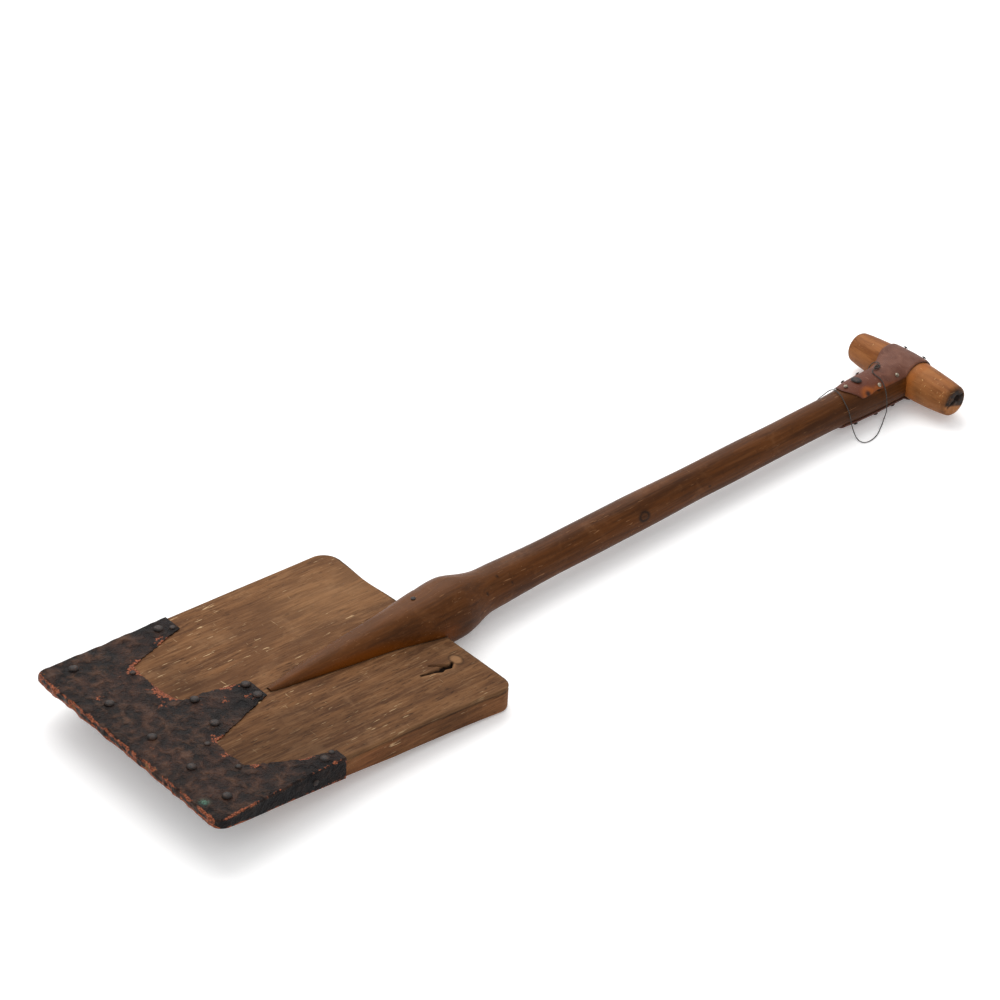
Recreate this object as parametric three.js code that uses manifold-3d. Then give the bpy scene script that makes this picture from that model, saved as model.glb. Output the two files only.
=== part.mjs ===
// Wooden grain shovel: a board blade shod with sheet copper, a shaft whose tongue is let into the blade,
// and a barrel-shaped cross grip tied down by a nailed strap.
// Millimetres, +Z up. X runs across the blade, Y from the blade's front edge to the grip.
// The shovel lies at rest: the heel of the blade and the belly of the grip touch the ground.
import * as THREE from 'three';
import { mergeVertices } from 'three/addons/utils/BufferGeometryUtils.js';
import Module from 'manifold-3d';

const wasm = await Module();
wasm.setup();

// ---- Driving dimensions ----
const GAP = 0.3; // clearance between neighbouring pieces

const BLADE_LENGTH = 345; // front edge to heel, along the board
const BLADE_FAR_X = -153.5; // far long edge, measured from the shaft's axis
const BLADE_NEAR_FRONT_X = 127;
const BLADE_NEAR_WAIST_X = 114.5;
const BLADE_NEAR_HEEL_X = 130;
const FRONT_FAR_CORNER_R = 6;
const FRONT_NEAR_CORNER_R = 12;
const HEEL_CORNER_R = 18;
const HEEL_THICKNESS = 26;
// Thickness of the wood along the long edges: distance from the front edge, thickness.
const SIDE_THICKNESS = [
  [0, 8], [30, 12.5], [70, 16], [105, 19], [145, 22], [205, 25.6], [270, 25.6], [350, 26],
];
const KEEL_START = 262; // from here to the heel the underside is level and bears on the ground
const KEEL_NEAR_X = 65;
const KEEL_FAR_X = -75;
const BLADE_TILT = THREE.MathUtils.degToRad(3.85); // the front edge stands higher than the heel

const COPPER = 1.0; // sheet thickness
const SHOE_ARM_REACH = 149; // the three arms end this far behind the front edge
const SHOE_SIDE_REACH = 148; // side flanges
const SHOE_UNDER_REACH = 60; // turned-under strip

const TONGUE_TIP_Y = 156;
const HEEL_Y = 344.6;
const SHAFT_HEEL_Z = 28.8; // height of the shaft's axis at the heel
const GRIP_Y = 1006.8;
const GRIP_Z = 24.5;

const GRIP_LENGTH = 143;
const GRIP_BELLY_R = 21.6;
const GRIP_END_R = 16.9;
const GRIP_ROUNDING = 4;
const TENON_R = 11;
const TENON_START_Y = 975;
const WEDGE = { thick: 2.4, tall: 17, deep: 16 };

const STRAP = 2.0; // leather thickness
const STRAP_LIFT = GAP + STRAP; // outer face of the strap above the wood
const STRAP_GRIP_HALF = 23;
const STRAP_GRIP_SHIFT = -6;
const STRAP_FRONT_Y = 907; // front end of the upper leg, cut on a slant and hollowed in the middle
const STRAP_FRONT_SLANT = 5;
const STRAP_FRONT_HOLLOW = 12;
const STRAP_UNDER_Y = 901; // front end of the lower leg

const STRING_D = 1.0;

// ---- Solids: closed geometries, and boolean cuts between them ----
function toSolid(geometry, matrix) {
  const bare = geometry.clone();
  bare.deleteAttribute('normal');
  bare.deleteAttribute('uv');
  if (matrix) bare.applyMatrix4(matrix);
  const merged = mergeVertices(bare, 1e-3);
  const triVerts = Uint32Array.from(merged.index.array);
  if (matrix && matrix.determinant() < 0) triVerts.reverse();
  const vertProperties = Float32Array.from(merged.attributes.position.array);
  return new wasm.Manifold(new wasm.Mesh({ numProp: 3, vertProperties, triVerts }));
}

function toGeometry(solid) {
  const mesh = solid.getMesh();
  const geometry = new THREE.BufferGeometry();
  geometry.setAttribute('position', new THREE.BufferAttribute(mesh.vertProperties.slice(), 3));
  geometry.setIndex(new THREE.BufferAttribute(mesh.triVerts.slice(), 1));
  return geometry;
}

// Skin over rings of points that all have the same even count. The ends are zipped shut from side to side,
// which also closes a thin curved section.
function loft(rings) {
  const count = rings[0].length;
  const points = rings.flat();
  const index = [];
  for (let i = 0; i + 1 < rings.length; i += 1) {
    for (let j = 0; j < count; j += 1) {
      const a = i * count + j;
      const b = i * count + ((j + 1) % count);
      index.push(a, b, a + count, b, b + count, a + count);
    }
  }
  const last = (rings.length - 1) * count;
  for (let j = 0; j < count / 2 - 1; j += 1) {
    const k = count - 1 - j;
    index.push(j, k, k - 1, j, k - 1, j + 1);
    index.push(last + j, last + j + 1, last + k - 1, last + j, last + k - 1, last + k);
  }
  const geometry = new THREE.BufferGeometry().setFromPoints(points);
  geometry.setIndex(index);
  return geometry;
}

// A flat outline (first, second) pushed through the third direction, from low to high.
function slab(shape, low, high, curveSegments = 6) {
  const geometry = new THREE.ExtrudeGeometry(shape, { depth: high - low, bevelEnabled: false, curveSegments });
  return geometry.translate(0, 0, low);
}

// The same, for an outline drawn in Y and Z and pushed along X.
function sideSlab(shape, low, high) {
  const turn = new THREE.Matrix4().makeBasis(
    new THREE.Vector3(0, 1, 0), new THREE.Vector3(0, 0, 1), new THREE.Vector3(1, 0, 0));
  return slab(shape, low, high, 1).applyMatrix4(turn);
}

function cylinder(radius, from, to, segments) {
  const axis = to.clone().sub(from);
  const turn = new THREE.Quaternion().setFromUnitVectors(new THREE.Vector3(0, 1, 0), axis.clone().normalize());
  const place = new THREE.Matrix4().compose(
    from.clone().addScaledVector(axis, 0.5), turn, new THREE.Vector3(1, 1, 1));
  return new THREE.CylinderGeometry(radius, radius, axis.length(), segments).applyMatrix4(place);
}

const vec = (x, y, z) => new THREE.Vector3(x, y, z);

// ---- Blade frame: X across, Y along the board from the front edge, Z out of its upper face ----
const frontHeight = BLADE_LENGTH * Math.sin(BLADE_TILT) + HEEL_THICKNESS * Math.cos(BLADE_TILT);
const bladeFrame = new THREE.Matrix4().makeRotationX(-BLADE_TILT).setPosition(0, 0, frontHeight);
const bladeTopZ = (y) => frontHeight - Math.tan(BLADE_TILT) * y;
const bladeNormal = vec(0, Math.sin(BLADE_TILT), Math.cos(BLADE_TILT));

function boardThickness(s) {
  const next = Math.max(SIDE_THICKNESS.findIndex(([at]) => at >= s), 1);
  const [[s0, t0], [s1, t1]] = SIDE_THICKNESS.slice(next - 1, next + 1);
  return THREE.MathUtils.mapLinear(s, s0, s1, t0, t1);
}

// The middle of the board swells below its edges, down to the level keel at the heel.
function keelThickness(s) {
  const level = frontHeight / Math.cos(BLADE_TILT) - Math.tan(BLADE_TILT) * Math.max(s, KEEL_START);
  const swell = THREE.MathUtils.smoothstep(s, 90, KEEL_START);
  return THREE.MathUtils.lerp(boardThickness(s), level, swell);
}

// Near edge of the board: a slightly waisted curve.
function nearEdgeX(s) {
  const t = s / BLADE_LENGTH;
  return (1 - t) ** 2 * BLADE_NEAR_FRONT_X + 2 * t * (1 - t) * BLADE_NEAR_WAIST_X + t * t * BLADE_NEAR_HEEL_X;
}

function boardOutline(grow) {
  const shape = new THREE.Shape();
  const left = BLADE_FAR_X - grow;
  const front = -grow;
  const heelNearX = nearEdgeX(BLADE_LENGTH) + grow;
  shape.moveTo(left + FRONT_FAR_CORNER_R, front);
  shape.lineTo(nearEdgeX(0) + grow - FRONT_NEAR_CORNER_R, front);
  shape.quadraticCurveTo(nearEdgeX(0) + grow, front, nearEdgeX(0) + grow, front + FRONT_NEAR_CORNER_R);
  for (const s of [60, 120, 180, 240, 290]) shape.lineTo(nearEdgeX(s) + grow, s);
  shape.lineTo(heelNearX - 0.5, BLADE_LENGTH - HEEL_CORNER_R);
  shape.quadraticCurveTo(heelNearX, BLADE_LENGTH, heelNearX - HEEL_CORNER_R, BLADE_LENGTH);
  shape.lineTo(left + HEEL_CORNER_R, BLADE_LENGTH);
  shape.quadraticCurveTo(left, BLADE_LENGTH, left, BLADE_LENGTH - HEEL_CORNER_R);
  shape.lineTo(left, front + FRONT_FAR_CORNER_R);
  shape.quadraticCurveTo(left, front, left + FRONT_FAR_CORNER_R, front);
  return shape;
}

// Everything between the upper face and the underside, up to a length along the board; it starts ahead of the
// front edge.
function boardDepth(grow, length) {
  const stops = [0, 30, 70, 105, 145, 175, 205, 235, KEEL_START, 300].filter((s) => s < length);
  const rings = [-3, ...stops, length].map((y) => {
    const s = Math.max(y, 0);
    const keel = -keelThickness(s) - grow;
    const fall = keelThickness(s) - boardThickness(s);
    const near = keel + (fall * (220 - KEEL_NEAR_X)) / (BLADE_NEAR_WAIST_X - KEEL_NEAR_X);
    const far = keel + (fall * (220 + KEEL_FAR_X)) / (KEEL_FAR_X - BLADE_FAR_X);
    return [
      vec(-220, y, grow), vec(220, y, grow), vec(220, y, near),
      vec(KEEL_NEAR_X, y, keel), vec(KEEL_FAR_X, y, keel), vec(-220, y, far),
    ];
  });
  return toSolid(loft(rings));
}

function board(grow) {
  const plan = toSolid(slab(boardOutline(grow), -60, 20));
  return plan.intersect(boardDepth(grow, BLADE_LENGTH + 2));
}

// ---- Shaft: superelliptic rings, from the tongue's tip over the shoulder to the grip ----
const SHAFT_SIDES = 24;

// Axis height of the round part.
const axisZ = (y) => THREE.MathUtils.mapLinear(y, HEEL_Y, GRIP_Y, SHAFT_HEEL_Z, GRIP_Z);

// Radius along the round part: shoulder, neck, slim middle, swelling under the strap.
const shaftRadiusCurve = new THREE.SplineCurve([
  [345, 30], [352, 30.7], [360, 31.4], [370, 31.8], [380, 30.3], [390, 27.4], [400, 24.7], [412, 22.3],
  [430, 21.8], [450, 20.9], [480, 19.7], [520, 19.4], [600, 19.7], [690, 18.5], [780, 17.9], [860, 17.6],
  [900, 18.4], [922, 19.9], [950, 20.6], [1006.8, 20.6],
].map(([y, r]) => new THREE.Vector2(y, r)));

const shaftRadiusTable = shaftRadiusCurve.getPoints(400);

function shaftRadius(y) {
  const next = shaftRadiusTable.findIndex((p) => p.x >= y);
  if (next <= 0) return shaftRadiusTable[next === 0 ? 0 : shaftRadiusTable.length - 1].y;
  const a = shaftRadiusTable[next - 1];
  const b = shaftRadiusTable[next];
  return THREE.MathUtils.mapLinear(y, a.x, b.x, a.y, b.y);
}

function superRing(y, section, grow) {
  const ring = [];
  for (let i = 0; i < SHAFT_SIDES; i += 1) {
    const angle = (i / SHAFT_SIDES) * 2 * Math.PI;
    const s = Math.sin(angle);
    const c = Math.cos(angle);
    const power = 2 / (c >= 0 ? section.upPower : section.downPower);
    const height = (c >= 0 ? section.up : section.down) + grow;
    const x = section.x + (section.half + grow) * Math.sign(s) * Math.abs(s) ** power;
    ring.push(vec(x, y, section.z + height * Math.sign(c) * Math.abs(c) ** power));
  }
  return ring;
}

// Tongue and ridge: pointed at the tip, widest and tallest at the heel.
function tongueSection(y) {
  const t = (y - TONGUE_TIP_Y) / (HEEL_Y - TONGUE_TIP_Y);
  return {
    x: -3 * (1 - t ** 3),
    z: bladeTopZ(y),
    half: 3 + 22.5 * t ** 0.8 + 5.1 * THREE.MathUtils.smoothstep(y, 285, HEEL_Y),
    up: 2 + 30.9 * t ** 0.85,
    down: 1 + 15.5 * t,
    upPower: 2.3,
    downPower: 2.3,
  };
}

function roundSection(y) {
  const r = shaftRadius(y);
  const z = axisZ(y);
  const squareness = 0.5 * Math.max(0, 1 - Math.abs(y - 356) / 45);
  return {
    x: 0,
    z,
    half: r,
    up: r,
    down: Math.min(r, z - 1.2),
    upPower: 2 + squareness / 3,
    downPower: 2 + squareness,
  };
}

function shaftLoft(grow) {
  const end = grow > 0 ? 0.6 : 0;
  const rings = [];
  for (const t of [0, 0.1, 0.22, 0.36, 0.5, 0.64, 0.78, 0.9, 1]) {
    const y = THREE.MathUtils.lerp(TONGUE_TIP_Y, HEEL_Y, t);
    rings.push(superRing(t === 0 ? y - end : y, tongueSection(y), grow));
  }
  for (let y = HEEL_Y + 0.6; y < 430; y += 7) rings.push(superRing(y, roundSection(y), grow));
  for (let y = 430; y < 900; y += 47) rings.push(superRing(y, roundSection(y), grow));
  for (const y of [902, 922, 945, 975, GRIP_Y]) rings.push(superRing(y, roundSection(y), grow));
  return toSolid(loft(rings));
}

// ---- Grip: a barrel turned about X ----
function gripRadius(x) {
  const t = Math.min(Math.abs(x) / (GRIP_LENGTH / 2), 1);
  const belly = GRIP_END_R + (GRIP_BELLY_R - GRIP_END_R) * (1 - t ** 1.7);
  const inset = Math.max(0, GRIP_ROUNDING - (GRIP_LENGTH / 2 - Math.abs(x)));
  return belly - GRIP_ROUNDING + Math.sqrt(Math.max(GRIP_ROUNDING ** 2 - inset ** 2, 0));
}

function gripBarrel(grow) {
  const half = GRIP_LENGTH / 2;
  const nearSide = [24, 48, half - 4, half - 2.4, half - 1, half];
  const stations = [...nearSide.map((x) => -x).reverse(), 0, ...nearSide];
  const profile = stations.map((x) => new THREE.Vector2(gripRadius(x) + grow, x * (1 + grow / half)));
  profile.unshift(new THREE.Vector2(0, -half - grow));
  profile.push(new THREE.Vector2(0, half + grow));
  const place = new THREE.Matrix4().makeRotationZ(-Math.PI / 2).setPosition(0, GRIP_Y, GRIP_Z);
  return toSolid(new THREE.LatheGeometry(profile, 28), place);
}

// ---- Places on the shovel's faces: a point and the direction out of the face ----
const onBlade = (x, s, lift = 0) => ({
  point: vec(x, s, lift).applyMatrix4(bladeFrame),
  out: bladeNormal.clone(),
});

function onShaft(y, degrees, lift = 0) {
  const angle = THREE.MathUtils.degToRad(degrees);
  const out = vec(Math.sin(angle), 0, Math.cos(angle));
  const point = vec(0, y, axisZ(y)).addScaledVector(out, shaftRadius(y) + lift);
  return { point, out };
}

function onGrip(x, degrees, lift = 0) {
  const angle = THREE.MathUtils.degToRad(degrees);
  const out = vec(0, Math.sin(angle), Math.cos(angle));
  return { point: vec(x, GRIP_Y, GRIP_Z).addScaledVector(out, gripRadius(x) + lift), out };
}

// ---- Nails: a low domed head on a round shank, driven against the face's direction ----
const NAIL_SIDES = 8;

function nailGeometry(place, kind) {
  const profile = [
    [0, -kind.length], [kind.shank * 0.5, -kind.length], [kind.shank, -kind.length + 2 * kind.shank],
    [kind.shank, 0], [kind.head, 0], [kind.head * 0.95, kind.dome * 0.4], [kind.head * 0.6, kind.dome * 0.9],
    [0, kind.dome],
  ].map(([r, h]) => new THREE.Vector2(r, h));
  const turn = new THREE.Quaternion().setFromUnitVectors(vec(0, 1, 0), place.out);
  const seat = place.point.clone().addScaledVector(place.out, GAP);
  const matrix = new THREE.Matrix4().compose(seat, turn, vec(1, 1, 1));
  return new THREE.LatheGeometry(profile, NAIL_SIDES).applyMatrix4(matrix);
}

function nailHole(place, kind) {
  const above = place.point.clone().addScaledVector(place.out, 2 * GAP);
  const below = place.point.clone().addScaledVector(place.out, -kind.length - 2 * GAP);
  return toSolid(cylinder(kind.shank + GAP, below, above, NAIL_SIDES));
}

const SHOE_NAIL = { head: 4.6, dome: 1.7, shank: 1.3, length: 9 };
const SHOE_TACK = { head: 3.0, dome: 1.2, shank: 0.9, length: 9 };
const STRAP_TACK = { head: 2.9, dome: 1.6, shank: 0.9, length: 12 };
const STRAP_NAIL = { head: 6.0, dome: 2.0, shank: 1.6, length: 16 };
const TONGUE_NAIL = { head: 3.2, dome: 0.8, shank: 1.5, length: 26 };

const SHEET_TOP = GAP + COPPER;
const shoeNails = [
  ['front', SHOE_NAIL, [[-137, 30], [-73, 25], [-8, 26], [49, 28], [102, 28]]],
  ['far_arm', SHOE_NAIL, [[-142, 131]]],
  ['centre_arm', SHOE_NAIL, [[-21.5, 143], [-2, 142]]],
  ['centre_foot', SHOE_NAIL, [[-31, 91], [9, 84]]],
  ['near_arm', SHOE_NAIL, [[112, 131]]],
  ['tack', SHOE_TACK, [[-136, 143], [-99, 70], [30, 60], [74, 62], [108, 142]]],
].flatMap(([name, kind, spots]) => spots.map(([x, s], i) => ({
  name: `shoe_nail_${name}_${i + 1}`, kind, place: onBlade(x, s, SHEET_TOP),
})));

// One nail through each side flange, driven square to the board's edge.
const flangeNails = [['near', 1], ['far', -1]].map(([name, side]) => {
  const s = 112;
  const x = side > 0 ? nearEdgeX(s) + SHEET_TOP : BLADE_FAR_X - SHEET_TOP;
  const place = { point: vec(x, s, -boardThickness(s) / 2).applyMatrix4(bladeFrame), out: vec(side, 0, 0) };
  return { name: `shoe_nail_flange_${name}`, kind: { ...SHOE_TACK, length: 14 }, place };
});

const strapTacks = [
  ['top_front', onShaft(916, -4, STRAP_LIFT)],
  ['top_front_far', onShaft(930, -56, STRAP_LIFT)],
  ['top_middle', onShaft(950, 40, STRAP_LIFT)],
  ['top_rear', onShaft(977, 38, STRAP_LIFT)],
  ['top_middle_far', onShaft(952, -54, STRAP_LIFT)],
  ['back_far', onGrip(-17, 42, STRAP_LIFT)],
  ['back_near', onGrip(9, 44, STRAP_LIFT)],
  ['under_front', onShaft(920, 147, STRAP_LIFT)],
  ['under_middle', onShaft(950, 148, STRAP_LIFT)],
  ['under_rear', onShaft(976, 149, STRAP_LIFT)],
].map(([name, place]) => ({ name: `strap_tack_${name}`, kind: STRAP_TACK, place }));
strapTacks.push({ name: 'strap_nail_large', kind: STRAP_NAIL, place: onShaft(932, -5, STRAP_LIFT) });

// The tongue is nailed from its crest, and from below through the board.
const tongueNailTop = {
  name: 'tongue_nail_top',
  kind: TONGUE_NAIL,
  place: { point: vec(-4, 331, bladeTopZ(331) + tongueSection(331).up), out: vec(0, 0, 1) },
};
const tongueNailsUnder = [[-6, 250], [8, 318]].map(([x, s], i) => ({
  name: `tongue_nail_under_${i + 1}`,
  kind: TONGUE_NAIL,
  place: { point: vec(x, s, -boardThickness(s)).applyMatrix4(bladeFrame), out: bladeNormal.clone().negate() },
}));
// Their heads are sunk so that the board's underside stays clear of the ground.
for (const nail of tongueNailsUnder) {
  nail.place.point.addScaledVector(nail.place.out, -TONGUE_NAIL.dome - 2 * GAP);
}

function countersink(nail) {
  const { point, out } = nail.place;
  const bottom = point.clone().addScaledVector(out, 0);
  const mouth = point.clone().addScaledVector(out, 6);
  return toSolid(cylinder(nail.kind.head + GAP, bottom, mouth, NAIL_SIDES));
}

// ---- Copper shoe: an upper plate with three arms, a folded front, side flanges, an under strip ----
function shoeRegionTop() {
  const outline = [
    [-170, -20], [-170, SHOE_ARM_REACH], [-131, SHOE_ARM_REACH - 3], [-108, 77], [-56, 75], [-38, 80], [-34, 91],
    [-35.5, 101], [-24, SHOE_ARM_REACH + 1], [2, SHOE_ARM_REACH + 1], [30, 74], [33, 67], [75, 68], [99, 112],
    [109, SHOE_ARM_REACH], [170, SHOE_ARM_REACH], [170, -20],
  ].map(([x, s]) => new THREE.Vector2(x, s));
  return toSolid(slab(new THREE.Shape(outline), GAP / 2, 10));
}

// Everything ahead of a line this far behind the front edge, from the upper face down.
function ahead(reach) {
  const box = new THREE.BoxGeometry(400, reach + 20, 60);
  return toSolid(box.translate(0, (reach - 20) / 2, -29));
}

function copperShoe() {
  const skin = board(GAP + COPPER).subtract(board(GAP));
  const sides = boardDepth(GAP / 2, BLADE_LENGTH).intersect(ahead(SHOE_SIDE_REACH));
  const under = ahead(SHOE_UNDER_REACH);
  return skin.intersect(shoeRegionTop().add(sides).add(under)).transform(bladeFrame.toArray());
}

// ---- Strap: one band over the grip, its two legs lying along the top and the underside of the shaft ----
const STRAP_WRAP = THREE.MathUtils.degToRad(54); // half the arc that a leg covers on the shaft
const STRAP_ACROSS = 8;

function softMax(a, b, width) {
  const h = Math.max(width - Math.abs(a - b), 0) / width;
  return Math.max(a, b) + (h * h * width) / 4;
}

// A point on the strap's inner face. w runs from -1 (far edge) to 1 (near edge); side is 1 above, -1 below.
// The leg hugs the shaft, then spreads out and climbs onto the grip.
function legPoint(y, w, side) {
  const r = shaftRadius(y) + 1.4 * GAP;
  const spread = THREE.MathUtils.smoothstep(y, 968, 1000);
  const x = THREE.MathUtils.lerp(r * Math.sin(w * STRAP_WRAP), STRAP_GRIP_SHIFT + w * STRAP_GRIP_HALF, spread);
  const onRound = Math.max(r * Math.cos(w * STRAP_WRAP), Math.sqrt(Math.max(r * r - x * x, 0)));
  const g = gripRadius(x) + 1.4 * GAP;
  const onGripTop = Math.sqrt(Math.max(g * g - (y - GRIP_Y) ** 2, 0));
  return vec(x, y, GRIP_Z + side * softMax(side * (axisZ(y) - GRIP_Z) + onRound, onGripTop, 3));
}

function strapInner() {
  const rows = [];
  const shares = Array.from({ length: STRAP_ACROSS + 1 }, (_, j) => (2 * j) / STRAP_ACROSS - 1);
  const row = (point) => rows.push(shares.map(point));
  for (let i = 0; i <= 15; i += 1) {
    row((w) => {
      const end = STRAP_FRONT_Y + STRAP_FRONT_SLANT * w + STRAP_FRONT_HOLLOW * Math.hypot(w, 0.2);
      return legPoint(THREE.MathUtils.lerp(end, GRIP_Y, (i / 15) ** 0.9), w, 1);
    });
  }
  for (let i = 1; i < 9; i += 1) {
    const angle = (i / 9) * Math.PI;
    row((w) => {
      const x = STRAP_GRIP_SHIFT + w * STRAP_GRIP_HALF;
      const r = gripRadius(x) + 1.4 * GAP;
      return vec(x, GRIP_Y + r * Math.sin(angle), GRIP_Z + r * Math.cos(angle));
    });
  }
  for (let i = 13; i >= 0; i -= 1) {
    row((w) => legPoint(THREE.MathUtils.lerp(STRAP_UNDER_Y, GRIP_Y, i / 13), w, -1));
  }
  return rows;
}

function strapSolid() {
  const inner = strapInner();
  const kept = (value, last) => Math.min(Math.max(value, 0), last);
  const at = (i, j) => inner[kept(i, inner.length - 1)][kept(j, STRAP_ACROSS)];
  const outer = inner.map((line, i) => line.map((p, j) => {
    const along = at(i + 1, j).clone().sub(at(i - 1, j));
    const across = at(i, j + 1).clone().sub(at(i, j - 1));
    return p.clone().addScaledVector(across.cross(along).normalize(), STRAP);
  }));
  const rings = inner.map((line, i) => [...outer[i], ...line.slice().reverse()]);
  return toSolid(loft(rings));
}

// ---- String: tied in a knot over the strap, hanging in a loop on each side of the shaft ----
const stringRoute = [
  [-3.5, 959, 48.8], [-2, 956.2, 48.7], [0.6, 954.4, 48.8], [4.9, 953.8, 48.2], [8.6, 954.6, 47],
  [12.6, 955, 45.1], [16.6, 954.4, 42.2], [20.9, 953.6, 36.7], [23.4, 953, 30.2], [24.3, 953, 24],
  [23.9, 953.8, 17.5], [21.8, 956.3, 10], [20.8, 955.8, 4.2], [22.4, 952, 1.3], [25.8, 947, 0.8],
  [30.8, 938.5, 0.8], [35.4, 930.5, 0.8], [39.2, 920, 0.8], [39.6, 910, 0.8], [35.8, 905.6, 0.8],
  [29.4, 905.8, 1.1], [23.6, 907.4, 3.4], [20.9, 906.9, 9], [20.4, 904.6, 16.5], [20.6, 902.2, 25],
  [18.4, 901, 33.2], [12.4, 900.6, 40.9], [5.2, 902.2, 44.7], [-3.6, 904.5, 45.2], [-10.8, 906.4, 42.6],
  [-15.3, 905, 39.2], [-16.9, 900, 36.2], [-18, 893, 33], [-19.6, 888, 26], [-20.4, 886, 17], [-22.4, 887, 8.5],
  [-27, 892, 2.4], [-33, 901, 0.8], [-37.6, 915, 0.8], [-38.6, 931, 0.8], [-36, 947, 0.8], [-31.6, 959, 1.2],
  [-28.4, 967, 4.6], [-27.4, 971, 13], [-26.6, 974, 23], [-25.2, 976, 33], [-20.8, 977, 40.8], [-14.2, 975.8, 45.7],
  [-8.4, 973.2, 48],
].map(([x, y, z]) => vec(x, y, z));
const KNOT = { centre: vec(-4.2, 965.5, 49.4), half: [5.2, 2.2, 1.5] };

function stringGeometry() {
  const section = new THREE.Shape();
  section.absarc(0, 0, STRING_D / 2, 0, 2 * Math.PI, false);
  const path = new THREE.CatmullRomCurve3(stringRoute, false, 'centripetal');
  return new THREE.ExtrudeGeometry(section, { steps: 80, extrudePath: path, curveSegments: 8 });
}

function knotGeometry() {
  const turn = new THREE.Quaternion().setFromEuler(new THREE.Euler(0, -0.16, 1.69));
  const place = new THREE.Matrix4().compose(KNOT.centre, turn, vec(...KNOT.half));
  return new THREE.SphereGeometry(1, 10, 7).applyMatrix4(place);
}

// ---- Booleans: every piece makes room for its neighbours ----
const allNails = [...shoeNails, ...flangeNails, ...strapTacks, tongueNailTop, ...tongueNailsUnder];
function cutHoles(solid, nails) {
  return nails.reduce((cut, nail) => cut.subtract(nailHole(nail.place, nail.kind)), solid);
}

const wedgeOuterY = GRIP_Y + GRIP_BELLY_R - 2.4;
const tenonSlot = toSolid(new THREE.BoxGeometry(TENON_R * 2 + 4, WEDGE.deep + 6, WEDGE.thick + 2 * GAP)
  .translate(0, wedgeOuterY - WEDGE.deep / 2 + 3 - GAP, GRIP_Z));
const tenonBar = (radius) => toSolid(cylinder(
  radius, vec(0, TENON_START_Y, GRIP_Z), vec(0, GRIP_Y + GRIP_BELLY_R + 4, GRIP_Z), 20));
const shaftSide = toSolid(new THREE.BoxGeometry(80, 100, 80).translate(0, GRIP_Y - 50, GRIP_Z));
const tenon = tenonBar(TENON_R).intersect(gripBarrel(-0.8).add(shaftSide)).subtract(tenonSlot);

const shaft = cutHoles(
  shaftLoft(0).subtract(gripBarrel(GAP)).add(tenon),
  [...strapTacks, tongueNailTop, ...tongueNailsUnder],
);
const bladeBoard = cutHoles(
  board(0).transform(bladeFrame.toArray()).subtract(shaftLoft(GAP)),
  [...shoeNails, ...flangeNails, tongueNailTop, ...tongueNailsUnder],
).subtract(countersink(tongueNailsUnder[0])).subtract(countersink(tongueNailsUnder[1]));
const grip = cutHoles(gripBarrel(0).subtract(tenonBar(TENON_R + GAP)), strapTacks);
const shoe = cutHoles(copperShoe(), [...shoeNails, ...flangeNails]);
const strap = cutHoles(strapSolid(), strapTacks);

function wedgeGeometry() {
  const shape = new THREE.Shape();
  const outer = wedgeOuterY;
  const half = WEDGE.thick / 2;
  shape.moveTo(outer, GRIP_Z - half);
  shape.lineTo(outer, GRIP_Z + half);
  shape.lineTo(outer - WEDGE.deep, GRIP_Z + half * 0.4);
  shape.lineTo(outer - WEDGE.deep, GRIP_Z - half * 0.4);
  shape.closePath();
  return sideSlab(shape, -WEDGE.tall / 2, WEDGE.tall / 2);
}

// ---- Materials ----
const finish = (color, roughness, metalness = 0) => new THREE.MeshStandardMaterial({ color, roughness, metalness });
const bladeWood = finish(0x7a6048, 0.85);
const shaftWood = finish(0x7c4b2d, 0.5);
const gripWood = finish(0xac7038, 0.6);
const leather = finish(0x7a5a4c, 0.6);
const copper = finish(0x3f342f, 0.45, 0.7);
const nailIron = finish(0x3a302c, 0.6, 0.8);
const tackSteel = finish(0x9a8e7c, 0.4, 0.9);
const cordGrey = finish(0x2c2a28, 0.8);

// ---- Assembly ----
const shovel = new THREE.Group();

function addPiece(name, geometry, material, parent = shovel) {
  const mesh = new THREE.Mesh(geometry, material);
  mesh.name = name;
  parent.add(mesh);
}

const wooden = new THREE.Group();
addPiece('blade_board', toGeometry(bladeBoard), bladeWood, wooden);
addPiece('shaft', toGeometry(shaft), shaftWood, wooden);
addPiece('grip_bar', toGeometry(grip), gripWood, wooden);
addPiece('tenon_wedge', wedgeGeometry(), bladeWood, wooden);

const fittings = new THREE.Group();
addPiece('copper_shoe', toGeometry(shoe), copper, fittings);
addPiece('grip_strap', toGeometry(strap), leather, fittings);
for (const nail of allNails) {
  const metal = strapTacks.includes(nail) ? tackSteel : nailIron;
  addPiece(nail.name, nailGeometry(nail.place, nail.kind), metal, fittings);
}
shovel.add(wooden, fittings);

// The origin is the middle of the shovel's footprint, on the ground; the loose string follows along.
const extent = new THREE.Box3().setFromObject(shovel);
const middle = extent.getCenter(vec(0, 0, 0));
shovel.position.set(-middle.x, -middle.y, -extent.min.z);

const tie = new THREE.Group();
addPiece('string', stringGeometry(), cordGrey, tie);
addPiece('string_knot', knotGeometry(), cordGrey, tie);
shovel.add(tie);

export default new THREE.Group().add(shovel);
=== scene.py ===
"""Looks of a wooden grain shovel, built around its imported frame.

The classes keep their sizes in millimetres from the shovel's own datum: the shaft's axis, the blade's front
edge and the ground. Datum.place turns such points into metres in the row frame.
"""

import logging
import math
import sys
from dataclasses import dataclass
from enum import Enum
from typing import Any, Callable, ClassVar, Sequence

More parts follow.
